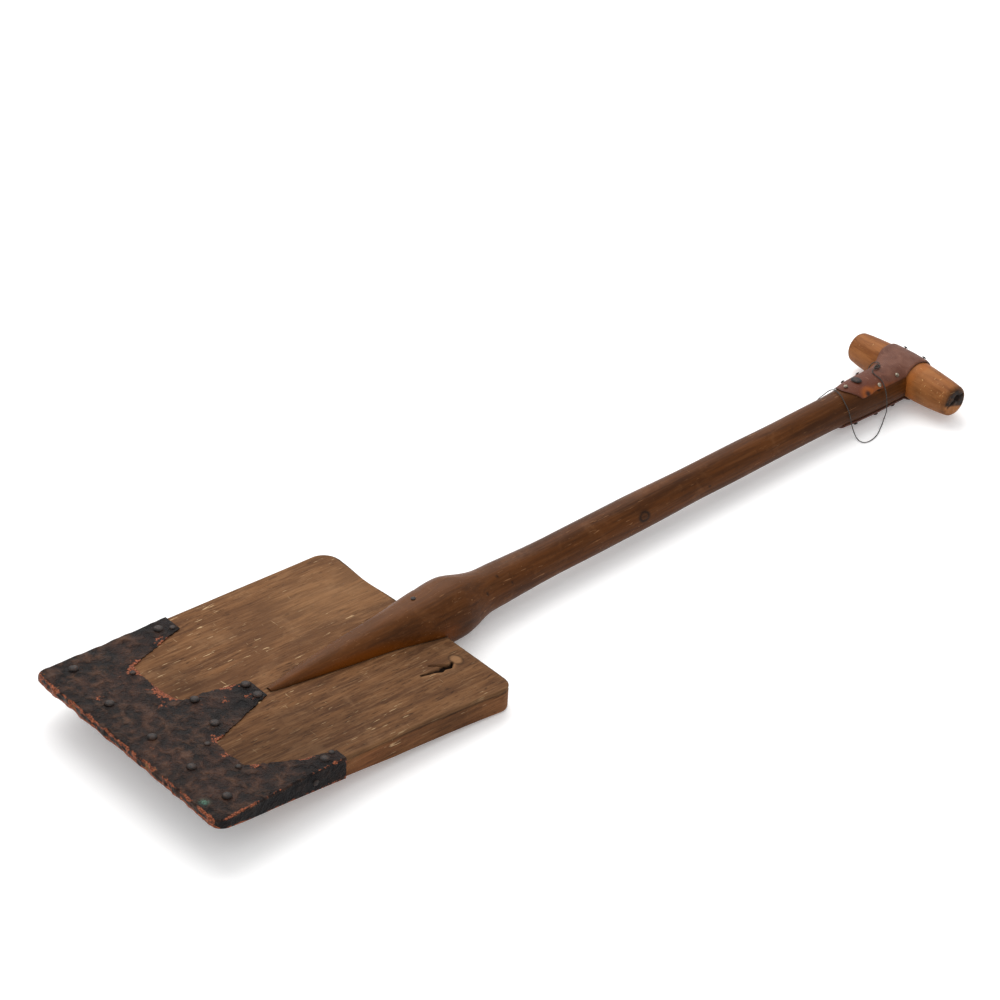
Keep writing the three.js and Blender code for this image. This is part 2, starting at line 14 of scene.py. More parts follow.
import bpy
import numpy as np
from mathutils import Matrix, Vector

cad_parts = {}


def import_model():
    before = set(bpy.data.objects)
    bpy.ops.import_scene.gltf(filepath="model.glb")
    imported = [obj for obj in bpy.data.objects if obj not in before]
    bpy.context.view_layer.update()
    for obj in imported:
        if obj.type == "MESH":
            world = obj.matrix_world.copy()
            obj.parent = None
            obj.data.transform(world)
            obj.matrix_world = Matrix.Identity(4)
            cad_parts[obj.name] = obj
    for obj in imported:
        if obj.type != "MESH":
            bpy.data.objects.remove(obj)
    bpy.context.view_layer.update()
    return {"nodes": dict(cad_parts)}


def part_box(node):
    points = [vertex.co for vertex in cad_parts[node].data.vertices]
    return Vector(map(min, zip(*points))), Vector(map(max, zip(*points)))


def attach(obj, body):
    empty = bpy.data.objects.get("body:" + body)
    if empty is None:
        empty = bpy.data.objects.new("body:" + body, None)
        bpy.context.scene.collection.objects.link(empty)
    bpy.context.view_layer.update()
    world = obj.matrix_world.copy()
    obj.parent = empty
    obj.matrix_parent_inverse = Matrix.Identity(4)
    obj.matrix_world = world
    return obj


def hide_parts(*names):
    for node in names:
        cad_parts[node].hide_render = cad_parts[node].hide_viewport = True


LOG = logging.getLogger("shovel")
Points = np.ndarray
Faces = list[tuple[int, ...]]
Colour = tuple[float, float, float, float]
Line = Sequence[tuple[float, float]]


# ---- Small tools ----


def rgb(red: int, green: int, blue: int) -> Colour:
    """Linear colour of a display colour given in 0 to 255."""
    linear = [((c / 255 + 0.055) / 1.055) ** 2.4 if c > 10 else c / 255 / 12.92 for c in (red, green, blue)]
    return (linear[0], linear[1], linear[2], 1.0)


def smoothstep(value: Points, low: float, high: float) -> Points:
    """Smooth rise from 0 at low to 1 at high."""
    t = np.clip((value - low) / (high - low), 0.0, 1.0)
    return t * t * (3 - 2 * t)


def bell(value: Points, centre: float, width: float) -> Points:
    """Smooth bump of height 1 around centre."""
    return np.exp(-(((value - centre) / width) ** 2))


def distance_to_line(points: Points, line: Line) -> Points:
    """Distance in the plane from each point to an open polyline.

    Args:
        points: Array of shape (count, 2).
        line: Corners of the polyline.

    Returns:
        One distance for each point.
    """
    best = np.full(len(points), 1e9)
    for a, b in zip(line[:-1], line[1:]):
        start = np.array(a, float)
        along = np.array(b, float) - start
        t = np.clip(((points - start) @ along) / max(along @ along, 1e-9), 0, 1)
        best = np.minimum(best, np.linalg.norm(points - start - t[:, None] * along, axis=1))
    return best


class Ripple:
    """Smooth seeded unevenness, a sum of plane waves between about -1 and 1."""

    def __init__(self, seed: int, wavelength: float, count: int = 16) -> None:
        """Draws the waves.

        Args:
            seed: Seed of the draw.
            wavelength: Typical wavelength in millimetres.
            count: Number of waves.
        """
        draw = np.random.default_rng(seed)
        direction = draw.normal(size=(count, 3))
        direction /= np.linalg.norm(direction, axis=1, keepdims=True)
        self.waves = direction * (2 * np.pi / (wavelength * draw.uniform(0.6, 1.9, (count, 1))))
        self.phases = draw.uniform(0, 2 * np.pi, count)

    def __call__(self, points: Points) -> Points:
        """Unevenness at each point."""
        return np.sin(points @ self.waves.T + self.phases).mean(axis=1) * 2.4


@dataclass(frozen=True)
class Datum:
    """Where the shovel's own datum lies in the row frame, in metres."""

    x: float
    y: float
    z: float
    front_overhang: ClassVar[float] = 0.000537
    grip_height: ClassVar[float] = 0.0245

    @classmethod
    def from_frame(cls) -> "Datum":
        """Reads the datum from the tenon wedge, which is centred in the grip, and from the blade's front.

        Returns:
            The datum.
        """
        low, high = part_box("tenon_wedge")
        front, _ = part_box("blade_board")
        return cls((low.x + high.x) / 2, front.y + cls.front_overhang, (low.z + high.z) / 2 - cls.grip_height)

    def place(self, points: Points) -> Points:
        """Row-frame metres of datum millimetres."""
        return np.asarray(points, float) / 1000 + np.array([self.x, self.y, self.z])

    def lift(self, points: Points) -> Points:
        """Datum millimetres of row-frame metres."""
        return (np.asarray(points, float) - np.array([self.x, self.y, self.z])) * 1000


class Joinery(Enum):
    """Ways in which one solid changes another."""

    CUT = "DIFFERENCE"
    ADD = "UNION"


class Bench:
    """Makes, joins and finishes meshes."""

    def __init__(self, datum: Datum) -> None:
        """Keeps the datum that every mesh is placed by."""
        self.datum = datum

    def solid(self, name: str, points: Points, faces: Faces) -> bpy.types.Object:
        """A new object from datum millimetres.

        Args:
            name: Name of the object.
            points: Corner points.
            faces: Corner indices of each face, outward.

        Returns:
            The object, linked to the scene.
        """
        mesh = bpy.data.meshes.new(name)
        mesh.from_pydata(self.datum.place(points).tolist(), [], faces)
        mesh.update()
        piece = bpy.data.objects.new(name, mesh)
        bpy.context.scene.collection.objects.link(piece)
        return piece

    def join(self, piece: bpy.types.Object, tool: bpy.types.Object, way: Joinery) -> None:
        """Applies a boolean and throws the tool away.

        Args:
            piece: The solid that changes.
            tool: The solid that is cut away or added.
            way: How they are combined.
        """
        modifier = piece.modifiers.new("join", "BOOLEAN")
        modifier.operation = way.value
        modifier.object = tool
        modifier.solver = "MANIFOLD"
        self.settle(piece)
        bpy.data.objects.remove(tool)

    def settle(self, piece: bpy.types.Object) -> None:
        """Turns a piece's modifiers into plain mesh.

        Args:
            piece: The piece.
        """
        graph = bpy.context.evaluated_depsgraph_get()
        mesh = bpy.data.meshes.new_from_object(piece.evaluated_get(graph))
        piece.modifiers.clear()
        old = piece.data
        piece.data = mesh
        bpy.data.meshes.remove(old)

    def coordinates(self, piece: bpy.types.Object) -> Points:
        """Datum millimetres of a piece's vertices.

        Args:
            piece: The piece.

        Returns:
            One point for each vertex.
        """
        flat = np.zeros(len(piece.data.vertices) * 3)
        piece.data.vertices.foreach_get("co", flat)
        return self.datum.lift(flat.reshape(-1, 3))

    def move(self, piece: bpy.types.Object, points: Points) -> None:
        """Puts a piece's vertices at datum millimetres."""
        piece.data.vertices.foreach_set("co", self.datum.place(points).ravel())
        piece.data.update()

    def paint(self, piece: bpy.types.Object, dark: Points, warm: Points, pale: Points) -> None:
        """Stores where a finish turns dark, warm or pale.

        Args:
            piece: The piece.
            dark: Amount of dark colour, 0 to 1 for each vertex: dirt, and painted shade in cracks, on the
                rear arris and on the shoe's arms.
            warm: Amount of warm colour: bare wood and copper, and painted reflected light at the shaft
                ridge's foot.
            pale: Amount of pale colour: scuffs and dust, and a painted highlight along the shaft's top.
        """
        values = np.ones((len(dark), 4))
        for channel, amount in enumerate((dark, warm, pale)):
            values[:, channel] = np.clip(amount, 0, 1)
        layer = piece.data.color_attributes.new("paint", "FLOAT_COLOR", "POINT")
        layer.data.foreach_set("color", values.ravel())

    def finish(
        self,
        piece: bpy.types.Object,
        material: bpy.types.Material,
        slot: str,
        nodes: Sequence[str],
        crease: float = 38.0,
    ) -> bpy.types.Object:
        """Gives a piece its material and its place in the frame.

        Args:
            piece: The piece.
            material: Its finish.
            slot: The record's material slot; not used.
            nodes: The frame's nodes that it stands for.
            crease: Angle in degrees above which an edge stays sharp.

        Returns:
            The piece.
        """
        piece.data.materials.clear()
        piece.data.materials.append(material)
        piece.data.polygons.foreach_set("use_smooth", [True] * len(piece.data.polygons))
        piece.data.set_sharp_from_angle(angle=math.radians(crease))
        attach(piece, "root")
        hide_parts(*nodes)
        LOG.info("%s: %d faces", piece.name, len(piece.data.polygons))
        return piece


def grid_faces(across: int, along: int, first: int = 0, flip: bool = False) -> Faces:
    """Quads of a grid stored row by row.

    Args:
        across: Points in a row.
        along: Number of rows.
        first: Index of the grid's first point.
        flip: Whether the faces look the other way.

    Returns:
        The quads.
    """
    faces: Faces = []
    for i in range(along - 1):
        for j in range(across - 1):
            a = first + i * across + j
            quad = (a, a + 1, a + across + 1, a + across)
            faces.append(quad[::-1] if flip else quad)
    return faces


def rim_indices(across: int, along: int) -> list[int]:
    """Indices round the border of a grid, the first row first.

    Args:
        across: Points in a row.
        along: Number of rows.

    Returns:
        The indices, once round.
    """
    first = list(range(across))
    near = [i * across + across - 1 for i in range(1, along)]
    last = [(along - 1) * across + j for j in range(across - 2, -1, -1)]
    far = [i * across for i in range(along - 2, 0, -1)]
    return first + near + last + far


def loft_solid(rings: Sequence[Points]) -> tuple[Points, Faces]:
    """Skin over rings of equal count, each turning clockwise seen from the first ring, with flat ends.

    Args:
        rings: The rings, in order.

    Returns:
        Points and faces of the closed skin.
    """
    count = len(rings[0])
    points = np.vstack([*rings, rings[0].mean(axis=0)[None], rings[-1].mean(axis=0)[None]])
    faces: Faces = []
    for i in range(len(rings) - 1):
        for j in range(count):
            a = i * count + j
            b = i * count + (j + 1) % count
            faces.append((a, b, b + count, a + count))
    last = (len(rings) - 1) * count
    start_hub = len(rings) * count
    for j in range(count):
        k = (j + 1) % count
        faces.append((start_hub, k, j))
        faces.append((start_hub + 1, last + j, last + k))
    return points, faces


# ---- Node trees ----


class Graph:
    """Short ways to add and link nodes."""

    def __init__(self, tree: bpy.types.NodeTree) -> None:
        """Keeps the tree that nodes are added to."""
        self.tree = tree

    def add(self, kind: str, values: dict[Any, Any] | None = None, **settings: Any) -> bpy.types.Node:
        """A new node.

        Args:
            kind: Blender's name of the node type.
            values: For each input's name or index, a number or the socket that feeds it.
            **settings: The node's own settings.

        Returns:
            The node.
        """
        node = self.tree.nodes.new(kind)
        for name, value in settings.items():
            setattr(node, name, value)
        for key, value in (values or {}).items():
            if isinstance(value, bpy.types.NodeSocket):
                self.tree.links.new(value, node.inputs[key])
            else:
                node.inputs[key].default_value = value
        return node

    def calc(self, operation: str, a: Any, b: Any = 0.0, clamp: bool = False) -> bpy.types.NodeSocket:
        """One step of arithmetic, if wanted kept between 0 and 1."""
        return self.add("ShaderNodeMath", {0: a, 1: b}, operation=operation, use_clamp=clamp).outputs[0]

    def close(self, geometry: bpy.types.NodeSocket, material: bpy.types.NodeSocket) -> None:
        """Ends a geometry tree.

        Args:
            geometry: The shape that the tree has made.
            material: The input that gives its material.
        """
        solid = self.add("GeometryNodeRealizeInstances", {0: geometry}).outputs[0]
        dressed = self.add("GeometryNodeSetMaterial", {"Geometry": solid, "Material": material})
        self.add("NodeGroupOutput", {0: dressed.outputs[0]})


class Shader(Graph):
    """A material's tree, with the patterns that the finishes share."""

    def __init__(self, name: str) -> None:
        """Makes an empty material with one Principled shader.

        Args:
            name: The material's name.
        """
        self.material = bpy.data.materials.new(name)
        self.material.use_nodes = True
        super().__init__(self.material.node_tree)
        self.tree.nodes.clear()
        self.principled = self.add("ShaderNodeBsdfPrincipled")
        self.add("ShaderNodeOutputMaterial", {"Surface": self.principled.outputs[0]})
        self.place = self.add("ShaderNodeTexCoord").outputs["Object"]
        paint = self.add("ShaderNodeAttribute", attribute_name="paint")
        channels = self.add("ShaderNodeSeparateColor", {0: paint.outputs["Color"]})
        self.dark, self.warm, self.pale = channels.outputs[:3]

    def stretch(self, scale: tuple[float, float, float], turn: float = 0.0) -> bpy.types.NodeSocket:
        """Object coordinates, turned about Z in degrees and scaled."""
        values = {"Vector": self.place, "Rotation": (0, 0, math.radians(turn)), "Scale": scale}
        return self.add("ShaderNodeMapping", values).outputs[0]

    def noise(
        self,
        place: bpy.types.NodeSocket,
        scale: float,
        detail: float = 4.0,
        rough: float = 0.55,
        bend: float = 0.0,
    ) -> bpy.types.NodeSocket:
        """Fractal noise.

        Args:
            place: Coordinates.
            scale: Features per metre.
            detail: Octaves.
            rough: Weight of the fine octaves.
            bend: Distortion.

        Returns:
            A value around 0.5.
        """
        values = {"Vector": place, "Scale": scale, "Detail": detail, "Roughness": rough, "Distortion": bend}
        return self.add("ShaderNodeTexNoise", values).outputs[0]

    def ramp(self, value: bpy.types.NodeSocket, low: float, high: float) -> bpy.types.NodeSocket:
        """Smooth mask that rises from 0 at low to 1 at high, or falls where low is the larger.

        Args:
            value: What is masked.
            low: Value at which the mask is 0.
            high: Value at which it is 1.

        Returns:
            The mask.
        """
        rising = low < high
        values = {
            "Value": value,
            "From Min": min(low, high),
            "From Max": max(low, high),
            "To Min": 0.0 if rising else 1.0,
            "To Max": 1.0 if rising else 0.0,
        }
        return self.add("ShaderNodeMapRange", values, interpolation_type="SMOOTHSTEP").outputs[0]

    def math(self, operation: str, a: Any, b: Any = 0.0) -> bpy.types.NodeSocket:
        """One step of arithmetic, kept between 0 and 1."""
        return self.calc(operation, a, b, clamp=True)

    def mix(self, amount: Any, a: Any, b: Any) -> bpy.types.NodeSocket:
        """Blend of two colours.

        Args:
            amount: Share of the second colour.
            a: First colour, or its socket.
            b: Second colour, or its socket.

        Returns:
            The blended colour.
        """
        values = {0: amount, 6: a, 7: b}
        return self.add("ShaderNodeMix", values, data_type="RGBA").outputs[2]

    def veil(self, under: Any, mask: Any, strength: Any, over: Any) -> bpy.types.NodeSocket:
        """Lays a colour over another where a mask is high.

        Args:
            under: The colour below, or its socket.
            mask: Where the veil lies.
            strength: Its greatest share, or a second mask.
            over: The colour above, or its socket.

        Returns:
            The blended colour.
        """
        return self.mix(self.math("MULTIPLY", mask, strength), under, over)

    def relief(
        self, height: bpy.types.NodeSocket, depth: float, under: bpy.types.NodeSocket | None = None
    ) -> bpy.types.NodeSocket:
        """Bump of a given depth in metres, on top of another.

        Args:
            height: Height pattern.
            depth: Depth in metres.
            under: The bump below, if any.

        Returns:
            The bent normal.
        """
        values: dict[Any, Any] = {"Height": height, "Distance": depth, "Strength": 1.0}
        if under:
            values["Normal"] = under
        return self.add("ShaderNodeBump", values).outputs[0]

    def dress(self, **sockets: Any) -> bpy.types.Material:
        """Feeds the Principled shader and gives the finished material.

        Args:
            **sockets: Inputs of the shader, each a value or a socket.

        Returns:
            The material.
        """
        for name, value in sockets.items():
            socket = self.principled.inputs[name.replace("_", " ").title().replace("Ior", "IOR")]
            if isinstance(value, bpy.types.NodeSocket):
                self.tree.links.new(value, socket)
            else:
                socket.default_value = value
        return self.material


@dataclass(frozen=True)
class WornWood:
    """Wood with grain along Y or X, worn, scratched and stained."""

    name: str
    body: Colour
    deep: Colour
    light: Colour
    bare: Colour
    scuff: Colour
    roughness: float
    scratches: float
    grain: float = 1.0
    across: bool = False
    shine: float = 0.25

    def material(self) -> bpy.types.Material:
        """Builds the finish.

        Returns:
            The material.
        """
        s = Shader(self.name)
        ways = {False: lambda long: (1.0, long, 1.0), True: lambda long: (long, 1.0, 1.0)}
        along = ways[self.across]
        bands = s.noise(s.stretch(along(0.1)), 95, 5, 0.6, 0.5)
        fibres = s.noise(s.stretch(along(0.035)), 430, 5, 0.62, 0.2)
        pores = s.noise(s.stretch(along(0.11)), 620, 3, 0.55)
        blotches = s.noise(s.place, 30, 6, 0.65, 0.4)
        stains = s.noise(s.stretch((1.0, 0.45, 1.0)), 12, 5, 0.55, 0.8)
        speckle = s.noise(s.place, 420, 3, 0.6)
        colour = s.mix(s.ramp(bands, 0.3, 0.64), self.deep, self.body)
        colour = s.veil(colour, s.ramp(fibres, 0.5, 0.64), 0.4 * self.grain, self.light)
        colour = s.veil(colour, s.ramp(fibres, 0.46, 0.34), 0.65 * self.grain, self.deep)
        colour = s.veil(colour, s.ramp(pores, 0.57, 0.68), 0.5 * self.grain, rgb(44, 28, 18))
        smudges = s.noise(s.place, 75, 7, 0.7, 0.6)
        colour = s.veil(colour, s.ramp(smudges, 0.54, 0.7), 0.4, self.deep)
        colour = s.veil(colour, s.ramp(blotches, 0.52, 0.72), 0.4, self.light)
        colour = s.veil(colour, s.ramp(stains, 0.5, 0.34), 0.6, self.deep)
        strokes = s.noise(s.stretch((1.0, 0.1, 1.0), 9), 480, 2, 0.5, 0.2)
        nicks = s.noise(s.stretch((0.14, 1.0, 1.0), -28), 430, 2, 0.5, 0.1)
        where = s.ramp(s.noise(s.place, 17, 3, 0.5), 0.42, 0.6)
        scratch = s.math("MAXIMUM", s.ramp(strokes, 0.66, 0.72), s.ramp(nicks, 0.71, 0.76))
        scratch = s.math("MULTIPLY", s.math("MULTIPLY", scratch, where), self.scratches)
        colour = s.mix(scratch, colour, self.scuff)
        colour = s.veil(colour, s.ramp(speckle, 0.7, 0.78), 0.35 * self.scratches, self.scuff)
        # Warm channel: bare wood, and on the shaft the painted reflected light at the ridge's foot.
        streaked = s.ramp(s.math("ADD", s.warm, s.math("MULTIPLY", fibres, 0.35)), 0.42, 0.95)
        colour = s.mix(streaked, colour, self.bare)
        # Pale channel: scuffs and dust, and on the shaft a painted highlight along its top.
        colour = s.veil(colour, s.pale, 0.75, self.light)
        # Dark channel: dirt, and painted shade in the board's crack and on its rear arris.
        colour = s.mix(s.dark, colour, rgb(28, 18, 12))
        gloss = s.add(
            "ShaderNodeMapRange",
            {"Value": blotches, "To Min": self.roughness + 0.1, "To Max": self.roughness - 0.1},
        ).outputs[0]
        bump = s.relief(bands, 0.0008 * self.grain)
        bump = s.relief(fibres, 0.0006 * self.grain, bump)
        bump = s.relief(scratch, 0.0003, bump)
        return s.dress(base_color=colour, roughness=gloss, normal=bump, specular_ior_level=self.shine)


@dataclass(frozen=True)
class OldCopper:
    """Sheet copper under a dark brown crust, bare and bright along its worn edges, with painted shade and
    highlight on its beaten lumps.
    """

    name: str = "old copper"

    def material(self) -> bpy.types.Material:
        """Builds the finish.

        Returns:
            The material.
        """
        s = Shader(self.name)
        clouds = s.noise(s.place, 34, 6, 0.6, 0.5)
        lumps = s.noise(s.place, 80, 5, 0.6, 0.25)
        crust = s.noise(s.place, 210, 6, 0.65)
        grit = s.noise(s.place, 700, 4, 0.6)
        colour = s.mix(s.ramp(clouds, 0.36, 0.66), rgb(23, 15, 12), rgb(56, 34, 25))
        # Painted shade on the low places and painted highlight on the high places of the beaten lumps,
        # following the lumps bump below.
        colour = s.veil(colour, s.ramp(lumps, 0.56, 0.34), 0.8, rgb(13, 9, 9))
        colour = s.veil(colour, s.ramp(lumps, 0.46, 0.76), 0.8, rgb(92, 64, 48))
        colour = s.veil(colour, s.ramp(crust, 0.5, 0.72), 0.4, rgb(88, 60, 46))
        # Dark channel: dark flanges and patches, and painted shade on the arms.
        colour = s.veil(colour, s.dark, 0.9, rgb(8, 7, 9))
        flakes = s.math("MULTIPLY", s.ramp(crust, 0.66, 0.7), s.ramp(clouds, 0.5, 0.56))
        worn = s.math("ADD", s.warm, s.math("MULTIPLY", s.math("SUBTRACT", crust, 0.46), 1.9))
        bare = s.math("MAXIMUM", s.ramp(worn, 0.5, 0.6), s.math("MULTIPLY", flakes, 0.6))
        ruddy = s.mix(s.ramp(grit, 0.38, 0.66), rgb(74, 36, 22), rgb(172, 98, 66))
        colour = s.mix(bare, colour, ruddy)
        colour = s.veil(colour, s.pale, s.ramp(grit, 0.4, 0.55), rgb(96, 142, 122))
        gloss = s.add("ShaderNodeMapRange", {"Value": crust, "To Min": 0.22, "To Max": 0.6}).outputs[0]
        bump = s.relief(lumps, 0.006)
        bump = s.relief(crust, 0.0012, bump)
        bump = s.relief(grit, 0.00015, bump)
        return s.dress(base_color=colour, roughness=gloss, specular_ior_level=0.1, normal=bump)


@dataclass(frozen=True)
class StrapLeather:
    """Dry brown leather with a greyish bloom, cracked across its length."""

    name: str = "strap leather"

    def material(self) -> bpy.types.Material:
        """Builds the finish.

        Returns:
            The material.
        """
        s = Shader(self.name)
        tone = s.noise(s.place, 55, 5, 0.6, 0.6)
        pores = s.add(
            "ShaderNodeTexVoronoi", {"Vector": s.place, "Scale": 900.0}, feature="DISTANCE_TO_EDGE"
        )
        creases = s.noise(s.stretch((0.35, 1.0, 0.6), 20), 420, 4, 0.65, 0.8)
        colour = s.mix(s.ramp(tone, 0.25, 0.8), rgb(88, 50, 36), rgb(114, 75, 60))
        colour = s.veil(colour, s.pale, 0.8, rgb(92, 44, 26))
        colour = s.veil(colour, s.ramp(creases, 0.6, 0.7), 0.5, rgb(150, 108, 90))
        colour = s.mix(s.warm, colour, rgb(142, 74, 24))
        colour = s.mix(s.dark, colour, rgb(34, 20, 15))
        gloss = s.add("ShaderNodeMapRange", {"Value": tone, "To Min": 0.42, "To Max": 0.66}).outputs[0]
        bump = s.relief(pores.outputs[0], 0.0004)
        bump = s.relief(creases, 0.0004, bump)
        return s.dress(base_color=colour, roughness=gloss, specular_ior_level=0.2, normal=bump)


@dataclass(frozen=True)
class ForgedIron:
    """Nail iron, dark with rust or rubbed grey."""

    name: str
    base: Colour
    rust: Colour
    metallic: float
    roughness: float

    def material(self) -> bpy.types.Material:
        """Builds the finish.

        Returns:
            The material.
        """
        s = Shader(self.name)
        patches = s.noise(s.place, 330, 5, 0.65, 0.4)
        pits = s.noise(s.place, 1500, 4, 0.6)
        colour = s.mix(s.ramp(patches, 0.42, 0.66), self.base, self.rust)
        gloss = s.add(
            "ShaderNodeMapRange",
            {"Value": pits, "To Min": self.roughness - 0.1, "To Max": self.roughness + 0.15},
        ).outputs[0]
        bump = s.relief(pits, 0.0002, s.relief(patches, 0.0004))
        return s.dress(
            base_color=colour, roughness=gloss, metallic=self.metallic, specular_ior_level=0.25, normal=bump
        )


@dataclass(frozen=True)
class TwistedFibre:
    """Dark twisted string."""

    name: str = "twisted fibre"

    def material(self) -> bpy.types.Material:
        """Builds the finish.

        Returns:
            The material.
        """
        s = Shader(self.name)
        twist = s.add(
            "ShaderNodeTexWave",
            {"Vector": s.stretch((1.0, 1.0, 1.3), 35), "Scale": 420.0, "Distortion": 2.0, "Detail": 2.0},
        ).outputs[1]
        fuzz = s.noise(s.place, 2600, 3, 0.7)
        colour = s.mix(twist, rgb(30, 28, 27), rgb(74, 68, 62))
        colour = s.veil(colour, s.ramp(fuzz, 0.55, 0.75), 0.5, rgb(104, 96, 88))
        bump = s.relief(fuzz, 0.0001, s.relief(twist, 0.0003))
        return s.dress(base_color=colour, roughness=0.8, normal=bump)


# ---- Shapes shared by the pieces ----


@dataclass(frozen=True)
class BladeForm:
    """The board's shape: x across, s along the board from the front edge, n out of its upper face."""

    length: float = 345.0
    far_x: float = -153.5
    near_front: float = 127.0
    near_waist: float = 114.5
    near_heel: float = 130.0
    front_corner_far: float = 6.0
    front_corner_near: float = 12.0
    heel_corner_far: float = 20.0
    heel_corner_near: float = 16.0
    heel_thickness: float = 26.0
    tilt: float = math.radians(3.85)
    keel_start: float = 262.0
    keel_far: float = -75.0
    keel_near: float = 65.0

    @property
    def front_height(self) -> float:
        """Height of the front edge's upper arris above the ground."""
        return self.length * math.sin(self.tilt) + self.heel_thickness * math.cos(self.tilt)

    def near_x(self, s: Points) -> Points:
        """Near long edge, slightly waisted."""
        t = np.clip(s / self.length, 0, 1)
        return (1 - t) ** 2 * self.near_front + 2 * t * (1 - t) * self.near_waist + t**2 * self.near_heel

    def thickness(self, x: Points, s: Points) -> Points:
        """Thickness of the wood, swelling in the middle to a level keel at the heel.

        Args:
            x: Distances across.
            s: Distances along.

        Returns:
            The thicknesses.
        """
        stations = [0, 30, 70, 105, 145, 205, 270, 350]
        edge = np.interp(s, stations, [8, 12.5, 16, 19, 22, 25.6, 25.6, 26])
        beyond = np.maximum(s, self.keel_start)
        level = self.front_height / math.cos(self.tilt) - math.tan(self.tilt) * beyond
        fall = (level - edge) * smoothstep(s, 90, self.keel_start)
        near = (x - self.keel_near) / (self.near_waist - self.keel_near)
        far = (self.keel_far - x) / (self.keel_far - self.far_x)
        return edge + fall * (1 - smoothstep(np.maximum(near, far), 0.0, 1.0))

    def plan(self, u: Points, v: Points, inset: float) -> tuple[Points, Points]:
        """Position on the board's outline drawn in by an inset.

        Args:
            u: Share of the way across, 0 at the far edge.
            v: Share of the way along, 0 at the front.
            inset: Distance inside the outline, negative outside.

        Returns:
            x and s.
        """
        s = inset + v * (self.length - 2 * inset)

        def corner(at_front: float, at_heel: float) -> Points:
            """How far a long edge draws in at its two rounded corners.

            Args:
                at_front: Radius of the front corner.
                at_heel: Radius of the heel corner.

            Returns:
                The distance drawn in.
            """
            cut = np.zeros_like(s)
            ends = ((s - inset, at_front - inset), (self.length - inset - s, at_heel - inset))
            for gap, radius in ends:
                inside = np.clip(radius - gap, 0, radius)
                cut += radius - np.sqrt(radius**2 - inside**2)
            return cut

        far = self.far_x + inset + corner(self.front_corner_far, self.heel_corner_far)
        near = self.near_x(s) - inset - corner(self.front_corner_near, self.heel_corner_near)
        x = far + (near - far) * u
        notch = 3.0 * bell(x, -88, 26) * smoothstep(s, self.length - 40, self.length)
        return x, s - notch

    def world(self, local: Points) -> Points:
        """Datum millimetres of (x, s, n).

        Args:
            local: Points in blade coordinates.

        Returns:
            The same points from the datum.
        """
        c = math.cos(self.tilt)
        t = math.sin(self.tilt)
        x, s, n = local[:, 0], local[:, 1], local[:, 2]
        return np.column_stack([x, s * c + n * t, self.front_height - s * t + n * c])

    def local(self, world: Points) -> Points:
        """(x, s, n) of datum millimetres.

        Args:
            world: Points from the datum.

        Returns:
            The same points in blade coordinates.
        """
        c = math.cos(self.tilt)
        t = math.sin(self.tilt)
        y, z = world[:, 1], world[:, 2] - self.front_height
        return np.column_stack([world[:, 0], y * c - z * t, y * t + z * c])


@dataclass(frozen=True)
class ShaftForm:
    """The shaft's shape, from the tongue's tip to the grip."""

    tip: float = 156.0
    heel: float = 344.6
    heel_z: float = 28.8
    grip_y: float = 1006.8
    grip_z: float = 24.5
    tip_half: float = 3.0
    tongue_half: float = 22.5
    heel_swell: float = 5.1
    swell_start: float = 285.0

    def tongue_width(self, y: Points, t: Points) -> Points:
        """Half width of the tongue at stations y, a share t of the way from its tip to the heel."""
        swell = smoothstep(y, self.swell_start, self.heel)
        return self.tip_half + self.tongue_half * t**0.8 + self.heel_swell * swell

    def axis_z(self, y: Points) -> Points:
        """Height of the round part's axis."""
        return self.heel_z + (self.grip_z - self.heel_z) * (y - self.heel) / (self.grip_y - self.heel)

    def radius(self, y: Points) -> Points:
        """Radius of the round part.

        Args:
            y: Stations.

        Returns:
            The radii.
        """
        stations = [
            345, 352, 360, 365, 370, 375, 380, 385, 390, 395, 400, 406, 412, 421, 430, 452, 480, 505, 560,
            610, 690, 780, 860, 885, 900, 922, 945, 1007,
        ]
        radii = [
            30.0, 30.7, 31.4, 31.7, 31.8, 31.4, 30.3, 29.0, 27.4, 26.0, 24.7, 23.3, 22.3, 21.8, 21.7, 20.8,
            19.8, 19.4, 19.7, 19.6, 18.4, 17.9, 17.6, 17.8, 18.4, 19.8, 20.6, 20.6,
        ]
        return np.interp(y, stations, radii)

    def section(self, y: float, angle: Points, blade: BladeForm, grow: float) -> Points:
        """One ring of the shaft.

        Args:
            y: Station.
            angle: Angles from the top towards +X.
            blade: The board that the tongue lies in.
            grow: Extra size all round.

        Returns:
            Points of the ring.
        """
        s, c = np.sin(angle), np.cos(angle)
        if y <= self.heel:
            t = (y - self.tip) / (self.heel - self.tip)
            face = blade.front_height - math.tan(blade.tilt) * y
            swell = float(smoothstep(np.array(y), self.swell_start, self.heel))
            rise = (self.heel_z - face) * float(smoothstep(np.array(y), 300, self.heel))
            half = float(self.tongue_width(np.array(y), t))
            up = 2 + 30.9 * t**0.85 - rise
            down = 1 + 15.5 * t + rise
            x0 = -3 * (1 - t**3)
            z0 = face + rise
            upper, lower = 2.3 - 0.17 * swell, 2.3
        else:
            r = float(self.radius(np.array(y)))
            z0 = float(self.axis_z(np.array(y)))
            x0 = 0.0
            half = up = r
            down = min(r, z0 - 1.2)
            square = 0.5 * max(0.0, 1 - abs(y - 356) / 45)
            upper, lower = 2 + square / 3, 2 + square
        power = np.where(c >= 0, 2 / upper, 2 / lower)
        height = np.where(c >= 0, up, down) + grow
        x = x0 + (half + grow) * np.sign(s) * np.abs(s) ** power
        z = z0 + height * np.sign(c) * np.abs(c) ** power
        return np.column_stack([x, np.full_like(x, y), z])


# ---- Sub-assemblies ----


